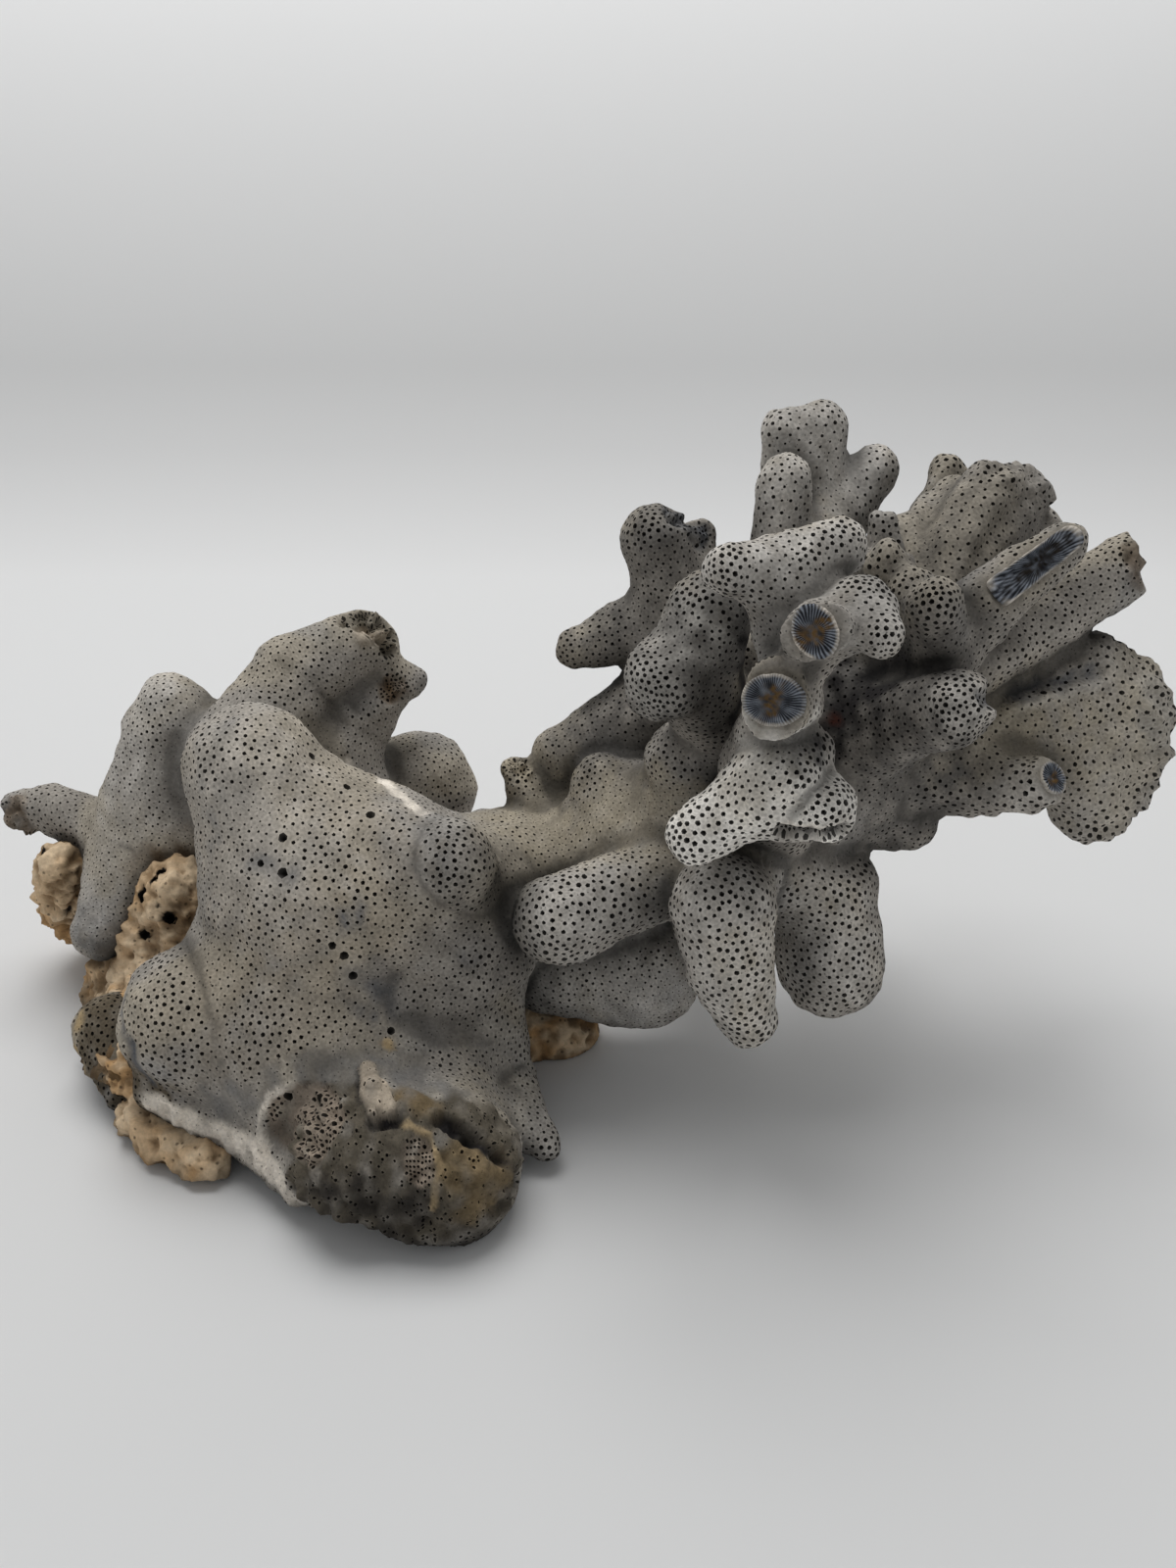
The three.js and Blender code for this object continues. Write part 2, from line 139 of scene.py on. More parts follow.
BRANCHES = {
    "mound": [
        broad((-31, -8, 29, 18.5), (-36, -12, 18, 17.5)),
        broad((-42, -6, 51, 10), (-36, -8, 38, 13.5)),
        broad((-22, -12, 37, 11.5), (-13, -18, 43, 6)),
        broken_limb(SOFT, CRUST_EDGE, UNDER_CRUST, (-43, -16, 18, 15), (-50.4, -20, 18.3, 11.1)),
        broken_limb(BROAD, CRUST_EDGE, UNDER_CRUST, (-33, -22, 11, 14), (-19, -26, 7, 12.5)),
        broken_limb(SOFT, FOOT_EDGE, UNDER_FOOT, (-23, -37, 8, 11.5), (-14, -38, 7, 11)),
        soft((-17, -12, 20, 13), (-8.7, -18, 6.3, 7), (0.4, -30, 3.7, 1.4)),
        soft((-12.2, -27, 8.4, 4.2), (-1, -30, 4.4, 1.8)),
        tight((-67.5, -10, 9.1, 5.7), (-61.7, -17, 5.2, 5.3), (-54, -13, 15, 5)),
        soft(
            (-55.6, -25, 9.6, 3.4), (-49.5, -27, 6.8, 3.5), (-43.1, -29.5, 6.1, 3.5),
            (-37.2, -34, 5.2, 3.4), (-32.9, -39, 4.8, 3.2),
        ),
        broad((-13, -8, 29, 11.5), (-6, -2, 31, 10.5)),
    ],
    "rear_columns": [
        broad((-62, 22, 48.5, 6.9), (-69, 18, 27, 8.5), (-72.5, 4.5, 18, 4.6)),
        broken_limb(
            SOFT, STUB_END, STUB_FACE,
            (-94.5, 24, 30.2, 2.7), (-86, 24, 30.9, 4.3), (-76, 22, 27, 5.5),
        ),
        soft((-49, 16, 43, 10), (-42, 24, 54, 7.5), (-31, 28, 59, 5.5)),
        soft((-38, 22, 38, 10), (-34, 26, 45, 7), (-27, 28, 52, 4)),
        soft((-27, 29, 51, 2.5), (-23, 31, 52, 2)),
        soft((-32, 32, 26, 10.5), (-24, 34, 30, 10)),
        broad((-58, 20, 22, 13.5), (-41, 22, 25, 13.5)),
    ],
    "trunk": [
        broad((-10, 4, 27, 12), (6, 0, 32, 11), (21, -2, 39, 11.5), (38, -2, 47, 11.5), (49, 0, 54, 9)),
        soft((0, 0, 15, 8), (15, -2, 15, 9)),
        soft((9, 2, 45, 5.5), (18, 0, 42, 7.5)),
        soft((20, -6, 53, 6), (23, -4, 44, 7)),
        tight((-2, 6, 39, 4), (-5, 8, 45, 2.5)),
        broad((41, 2, 61, 9), (54, 4, 67, 7.5)),
        soft((54, -2, 41, 4), (47, -2, 43, 6)),
        soft((54, -18, 66, 5), (47, -8, 59, 6)),
        soft((21, 22, 21, 7), (24, 4, 36, 9)),
        soft((45, 28, 28, 6), (40, 4, 45, 9)),
        soft((30, 9, 57, 6), (30, 9, 64, 5)),
    ],
    "lower_fingers": [
        soft((2, -18, 34, 6.5), (16, -12, 37, 6)),
        soft((24, -26, 41, 6.5), (25, -28, 33, 6), (28, -28, 24, 4)),
        soft((41, -10, 31, 7.5), (42, -12, 23, 8)),
        soft((24, -24, 39, 6), (28, -12, 40, 7), (41, -8, 34, 7)),
    ],
    "front_prongs": [
        soft((19, -34, 55, 3.5), (26, -33, 60, 4.5)),
        soft((30, -33, 63, 5.2), (30.9, -34, 58.7, 3.8), (34.2, -35, 59.7, 4.3)),
        soft((33, -30, 65, 3), (31, -24, 59, 5)),
        soft((28, -28, 60, 4.5), (32, -12, 48, 7)),
    ],
    "front_stalk": [
        soft((28, -23, 60, 5), (29, -31, 72, 3.6), (33, -33, 81, 3.3), (37, -32, 84, 3)),
        broken_limb(TIGHT, LOW_END, LOW_FACE, (30, -30, 71, 3.4), (26, -42, 75, 3.4)),
        broken_limb(TIGHT, LOW_END, LOW_FACE, (30, -30, 73.5, 3.4), (26, -42, 77.5, 3.4)),
        broken_limb(TIGHT, HIGH_END, HIGH_FACE, (32, -32, 80.5, 2.8), (29, -44, 84.5, 2.8)),
        broken_limb(TIGHT, HIGH_END, HIGH_FACE, (34, -32, 81.5, 2.8), (31, -44, 85.5, 2.8)),
        soft((38, -32, 84, 2.8), (39, -37, 82, 2.4)),
        soft((22.7, -28, 87.4, 3.2), (29, -26, 86, 4.5), (36, -24, 89, 3.5)),
        soft((29, -25, 85, 4.5), (30, -26, 78, 3.5)),
    ],
    "left_finger": [
        soft((15.6, -19, 70.1, 4.3), (22.3, -16, 77.9, 4.5)),
        soft((15.6, -19, 70.1, 4.3), (21.3, -12, 66.7, 5)),
        soft((21.3, -16, 78.6, 4.4), (21.3, -12, 66.7, 5), (24.9, -5, 55.8, 5.9)),
    ],
    "left_rear_branch": [
        soft((2, 11, 46, 5), (12, 13, 51, 6.5), (23, 14, 58, 7), (29, 8, 57, 6)),
        soft((4, 14, 63, 3), (12, 16, 65, 5), (21, 16, 65, 6.5)),
        soft((16, 16, 80, 5), (19, 16, 68, 5.5)),
        soft((23, 20, 79, 2.5), (23, 18, 70, 3.5)),
        soft((3, 10, 40, 4.5), (12, 10, 46, 5)),
    ],
    "top_branch": [
        soft((37, 33, 92, 4), (40, 32, 80, 5.5), (41, 20, 71, 6.5), (41, 12, 65, 6)),
        soft((43, 34, 93, 4), (41, 32, 80, 5.5)),
        soft((52, 36, 86, 4), (44, 30, 76, 5.5)),
        soft((36, 22, 87, 4), (35, 20, 75, 4.5)),
    ],
    "rear_fan": [
        soft((67, 22, 86, 4), (59, 14, 74, 5), (53, 8, 67, 5)),
        soft((73, 26, 84, 4.5), (63, 16, 72, 5)),
        soft((78, 28, 78, 3), (68, 18, 70, 4.5)),
        soft((63, 28, 84, 2.5), (54, 20, 77, 4), (51, 12, 69, 5)),
        tight((64, 36, 85, 3), (57, 26, 74, 3)),
        tight((47, -2, 81, 3), (50, 2, 75, 4)),
        tight((48, 8, 84, 2), (49, 6, 76, 3.5)),
        tight((45, 4, 78, 3), (47, 4, 70, 4.5)),
    ],
    "right_fingers": [
        soft((70.3, -3, 83.6, 3.2), (60.3, -5, 76, 4.8), (53, -5, 67, 5.2)),
        broken_limb(SOFT, FINGER_END, FINGER_FACE, (86.4, 9, 78.7, 4.3), (72, 6, 70, 5.4), (58, 1, 64, 6)),
        soft((51, -14, 79, 3.5), (53, -8, 69, 4.5)),
        soft((50, -6, 78, 3.5), (50, -2, 70, 4.5)),
    ],
    "right_fan": [
        soft((75.7, 8, 62.5, 4), (58, 0, 51, 6.5)),
        soft((78.5, 8, 63.2, 3.8), (69, 3, 56, 4.5)),
        soft((81.1, 6, 63, 4.1), (69, 3, 56, 4.5), (54, 0, 50, 6.5)),
        soft((85.4, 6, 61.1, 3.8), (72, 2, 53, 4.5)),
        soft((88.4, 5, 58.7, 3.9), (72, 2, 53, 4.5), (54, 0, 49, 6.5)),
        soft((89.3, 5, 54.4, 3.7), (72, 2, 53, 4.5)),
        soft((89.1, 4, 50.9, 4), (72, 1, 49, 4.5)),
        soft((87.4, 3, 46, 4.2), (76.9, 2, 49.5, 4.4)),
        soft((84.5, 2, 42.5, 4.5), (76.9, 2, 49.5, 4.4)),
        soft((81.3, 1, 40.6, 3.9), (76.9, 2, 49.5, 4.4)),
        soft((69.2, -9, 50.6, 3.9), (61.4, -3, 47.9, 4.9)),
    ],
}

LIMESTONE_LUMPS = [
    broken_limb(BROAD, HOLLOW_START, HOLLOW_SIDE, (-37, -2, -2, 21), (-59, -4, -1, 17)),
    soft((-59.7, 7, 22.8, 7.5), (-57, 6, 8, 9)),
    soft((-70, 7, 6, 7.5), (-60, 2, 4, 9)),
    soft((-82, 16, 23.5, 4.6), (-85, 24, 12, 5.5), (-69, 32, -1, 11)),
    soft((-14, 4, -2, 15.5), (0, 2, 1, 8)),
    soft((-57, 31, 2, 18), (-34, 31, -2, 16)),
    broken_limb(SOFT, HOLLOW_START, HOLLOW_SIDE, (-59, -13, 3, 11), (-46, -16, 2, 12.5)),
    soft((-62, -22, 2.4, 2.4), (-58.4, -25, 3, 2.6), (-51.3, -30.5, 3, 2.8), (-47.5, -32.5, 3, 2.6)),
    soft((-56, -27, 3, 2.6), (-52, -13, 3, 7)),
]

# Spacing and radius of the pores on each branch, in the order of the branches
PORES = {
    "mound": (1.25, 0.285),
    "rear_columns": (1.2, 0.245),
    "trunk": (1.12, 0.25),
    "lower_fingers": (1.25, 0.33),
    "front_prongs": (1.15, 0.34),
    "front_stalk": (1.0, 0.265),
    "left_finger": (1.06, 0.26),
    "left_rear_branch": (1.24, 0.25),
    "top_branch": (1.55, 0.27),
    "rear_fan": (1.42, 0.27),
    "right_fingers": (1.2, 0.27),
    "right_fan": (1.38, 0.32),
}
# How seeds keep apart and are evened out, and the width, depth and look of pores, with painted shade at
# their bottoms
SEED_GAP = 0.74
HOLE_RIM = 1.0
EVEN_PASSES = 3
TIP_PORES = 1.25
LEAST_PORE = 0.1
WIDEST_PORE_TO_GAP = 0.42
PORE_DEPTH = 1.6
DEPTH_TO_RADIUS = 3.2
PORE_LIP = 0.05
HALO = 1.38
PORE_SHADE = 0.12
CREASE = -0.12
STEEPEST_PORE = 0.5


def smooth_step(low, high, value):
    t = np.clip((value - low) / (high - low), 0, 1)
    return t * t * (3 - 2 * t)


def waves(points, wavelength, layer):
    """Smooth noise of about unit height, as plane waves in all directions. Each layer draws its own."""
    dice = np.random.default_rng(SEED + layer)
    number = 2 * math.pi / (wavelength * dice.uniform(*WAVE_SPREAD, WAVES))
    direction = unit(dice.normal(size=(WAVES, 3))) * number[:, None]
    phase = dice.uniform(0, 2 * math.pi, WAVES)
    total = np.zeros(len(points))
    for along, start in zip(direction, phase):
        total += np.cos(points @ along + start)
    return total * math.sqrt(2 / WAVES)


def join(a, b, fillet):
    """Union of two distances with a fillet between them."""
    overlap = np.maximum(0, fillet - np.abs(a - b)) / fillet
    return np.minimum(a, b) - overlap * overlap * fillet / 4


def window(low, high):
    """The part of the grid that spans a box, and the coordinates of its points."""
    first = np.maximum(np.floor((low - GRID_LOW) / GRID_STEP).astype(int), 0)
    last = np.minimum(np.ceil((high - GRID_LOW) / GRID_STEP).astype(int) + 1, GRID_SIZE)
    axes = [(GRID_LOW[i] + GRID_STEP * np.arange(first[i], last[i])).astype(np.float32) for i in range(3)]
    there = tuple(slice(a, b) for a, b in zip(first, last))
    return there, np.meshgrid(*axes, indexing="ij", sparse=True)


def beyond(x, y, z, point, normal):
    """Height above a plane."""
    return (x - point[0]) * normal[0] + (y - point[1]) * normal[1] + (z - point[2]) * normal[2]


def add_limb(values, part):
    """Joins a limb to the distances on the grid, within reach of the limb."""
    stations = part["stations"]
    low = (stations[:, :3] - stations[:, 3:]).min(0) - LIMB_MARGIN
    high = (stations[:, :3] + stations[:, 3:]).max(0) + LIMB_MARGIN
    there, (x, y, z) = window(low, high)
    distance = np.float32(OPEN_AIR)
    for a, b in zip(stations[:-1], stations[1:]):
        run = b[:3] - a[:3]
        along = np.clip(beyond(x, y, z, a, run) / (run @ run), 0, 1)
        aside = (x - a[0] - along * run[0]) ** 2 + (y - a[1] - along * run[1]) ** 2
        aside = np.sqrt(aside + (z - a[2] - along * run[2]) ** 2)
        distance = np.minimum(distance, aside - a[3] - along * (b[3] - a[3]))
    if part["face"]:
        distance = np.maximum(distance, beyond(x, y, z, *part["face"]))
    values[there] = join(values[there], distance, part["fillet"])


def ball(centre, radius, x, y, z):
    return np.sqrt((x - centre[0]) ** 2 + (y - centre[1]) ** 2 + (z - centre[2]) ** 2) - radius


def bore(values, centre, radius):
    """Takes a ball out of the shape on the grid."""
    there, (x, y, z) = window(centre - 2 * radius, centre + 2 * radius)
    values[there] = np.maximum(values[there], -ball(centre, radius, x, y, z))


def break_off(values, end):
    """Takes off what stands above a broken face, within its reach."""
    there, (x, y, z) = window(end.centre - end.reach, end.centre + end.reach)
    outside = np.maximum(ball(end.centre, end.reach, x, y, z), -beyond(x, y, z, end.centre, end.normal))
    values[there] = np.maximum(values[there], -outside)


def grid_of(limbs):
    values = np.full(GRID_SIZE, OPEN_AIR, np.float32)
    for part in limbs:
        add_limb(values, part)
    return values


def coral_grid():
    """Distances to the coral's skin, and which branch is the nearest at each grid point."""
    values = np.full(GRID_SIZE, OPEN_AIR, np.float32)
    nearest = np.full(GRID_SIZE, OPEN_AIR, np.float32)
    owner = np.zeros(GRID_SIZE, np.uint8)
    for index, limbs in enumerate(BRANCHES.values()):
        branch = grid_of(limbs)
        values = join(values, branch, FORK_FILLET)
        owner[branch < nearest] = index
        nearest = np.minimum(nearest, branch)
    return values, owner


HEIGHT = (GRID_LOW[2] + GRID_STEP * np.arange(GRID_SIZE[2])).astype(np.float32)[None, None, :]


# How a field is read: steps onto its surface, the reach and the tips of its bends, how far ahead the air is
# felt, and how a ray walks up to it
LAST_PLACE = GRID_SIZE - 1.001
SETTLE_PASSES = 3
LEAST_STEEPNESS = 0.3
BEND_REACH = 1.5
TIP_BEND = (0.2, 0.45)
AIR_REACHES = (3, 8, 16)
RAY_HIT = 0.02
RAY_STRIDE = 0.6
LEAST_STRIDE = 0.05


class Field:
    """Distances on the grid, read between its points."""

    def __init__(self, values):
        self.values = values

    @cached_property
    def slopes(self):
        return np.stack(np.gradient(self.values, GRID_STEP), -1)

    def read(self, table, points):
        place = np.clip((points - GRID_LOW) / GRID_STEP, 0, LAST_PLACE)
        cell = place.astype(int)
        part = place - cell
        total = 0
        for corner in np.ndindex(2, 2, 2):
            weight = np.prod(np.where(corner, part, 1 - part), axis=-1)
            i, j, k = (cell + corner).T
            found = table[i, j, k]
            total = total + (weight[:, None] if found.ndim > 1 else weight) * found
        return total

    def at(self, points):
        return self.read(self.values, points)

    def normal(self, points):
        return unit(self.read(self.slopes, points))

    def settle(self, points):
        """Moves points along the slope onto the surface."""
        for _ in range(SETTLE_PASSES):
            slope = self.read(self.slopes, points)
            steepness = np.maximum(LEAST_STEEPNESS, (slope * slope).sum(1))
            points = points - slope * (self.at(points) / steepness)[:, None]
        return points

    def bend(self, points):
        """Sum of the two curvatures: above zero on a bulge, below zero in a crease."""
        total = -6 * self.at(points)
        for axis in np.eye(3) * BEND_REACH:
            total += self.at(points + axis) + self.at(points - axis)
        return total / BEND_REACH ** 2

    def tip(self, points):
        """1 on the tip of a finger, 0 on its side."""
        return smooth_step(*TIP_BEND, self.bend(points))

    def openness(self, points, normals):
        """How open the air is in front of each point: 1 in the open, towards 0 in a narrow gap."""
        shares = [np.clip(self.at(points + normals * reach) / reach, 0, 1) for reach in AIR_REACHES]
        return sum(shares) / len(AIR_REACHES)

    def seen_at(self, pixel):
        """The point of the surface that the photograph shows at a pixel, or the nearest one beside it."""
        u, v = pixel
        across = (u - PHOTO_WIDTH / 2) / FOCAL_PIXELS
        upward = (PHOTO_HEIGHT / 2 - v) / FOCAL_PIXELS
        ray = unit(FORWARD + RIGHT * across + UP * upward)
        reach = NEAR_REACH
        nearest = EYE + ray * reach
        least = np.inf
        while reach < FAR_REACH and least > RAY_HIT:
            point = EYE + ray * reach
            value = self.at(point[None])[0]
            if value < least:
                nearest, least = point, value
            reach += max(RAY_STRIDE * value, LEAST_STRIDE)
        return self.settle(nearest[None])[0]

    def mesh(self):
        grid = openvdb.FloatGrid(float(OPEN_AIR))
        grid.copyFromArray(self.values)
        points, quads = grid.convertToQuads(0.0)
        return points.astype(float) * GRID_STEP + GRID_LOW, quads.astype(np.int64)


def linear(red, green, blue):
    """A colour given as it looks on screen, from 0 to 255."""
    return (np.array([red, green, blue]) / 255) ** SCREEN_GAMMA


@dataclass
class BrokenEnd:
    """A broken face: where the photograph shows its middle, how deep it cuts into the skin, how far it
    reaches, how many fibres run out, and the half length, half width, turn and colour of its core."""

    pixel: tuple
    depth: float
    reach: float
    ridges: int
    core: tuple
    core_colour: np.ndarray

    def place_on(self, field):
        place = field.seen_at(self.pixel)
        self.normal = field.normal(place[None])[0]
        self.centre = place - self.normal * self.depth


# Crumbs of limestone in the hollow beside the left column
RUBBLE = soft((-69.4, 5, 11.5, 4.2), (-65.4, 4.5, 15.5, 4.4), (-57.5, 5, 17, 5))

OCHRE = linear(112, 88, 56)
DARK_CORE = linear(40, 35, 30)
BROKEN_ENDS = {
    "stalk_low_end": BrokenEnd((787, 715), 0.0, 4.9, 60, (2.2, 0.85, 75), OCHRE),
    "stalk_high_end": BrokenEnd((829, 646), 0.0, 4.3, 40, (3.2, 1.0, 35), OCHRE),
    "right_finger_end": BrokenEnd((1062, 572), 0.3, 8.0, 60, (5.5, 0.8, 42), DARK_CORE),
    "right_fan_end": BrokenEnd((1077, 793), 0.6, 3.0, 30, (1.1, 0.6, 60), OCHRE),
}

coral_values, owner_grid = coral_grid()
limestone_values = grid_of(LIMESTONE_LUMPS + [RUBBLE])
unbroken = Field(np.maximum(coral_values, -HEIGHT))
for end in BROKEN_ENDS.values():
    end.place_on(unbroken)
    if end.depth:
        break_off(coral_values, end)
skin = Field(np.maximum(coral_values, -HEIGHT))
room = Field(np.minimum(np.minimum(coral_values, limestone_values), HEIGHT))
del unbroken


def owner_at(points):
    cell = np.rint((points - GRID_LOW) / GRID_STEP).astype(int)
    i, j, k = np.clip(cell, 0, GRID_SIZE - 1).T
    return owner_grid[i, j, k]


def blend(colour, other, share):
    return colour + (other - colour) * share[:, None]


# A mark on a surface: a run of photo pixels, a half width, how soft its edge is, a colour and its strength,
# a factor on the pores' width, how far it stands out, how rough it is, and a factor on the net's spacing
Mark = namedtuple("Mark", "pixels reach edge colour strength pores rise rough fine", defaults=[None] * 4)
Bare = partial(Mark, pores=0.0)

GREY = linear(135, 130, 123)
WARM = linear(140, 130, 115)
# Tints for painted light, in two strengths, and for painted shade
PAINTED_LIGHT = linear(180, 176, 170)
PAINTED_BRIGHT_LIGHT = linear(195, 191, 184)
PAINTED_SHADE = linear(94, 91, 87)
DUST = linear(148, 139, 122)
SLATE = linear(117, 117, 117)
# Bluish grey for smudges, and for painted shade in the fold of the fan
SMUDGE_AND_SHADE = linear(80, 82, 86)
OLIVE = linear(86, 80, 70)
FLANK = linear(84, 76, 64)
MUD = linear(108, 94, 72)
# Near black, for dirt and for painted shade in gaps, recesses and hollows
DIRT_AND_SHADE = linear(40, 38, 38)
CREAM = linear(218, 209, 196)
TAN = linear(160, 140, 108)
PEG = linear(164, 152, 136)
SPONGE = linear(126, 115, 103)
BROWN = linear(92, 76, 58)
RUST = linear(70, 34, 22)

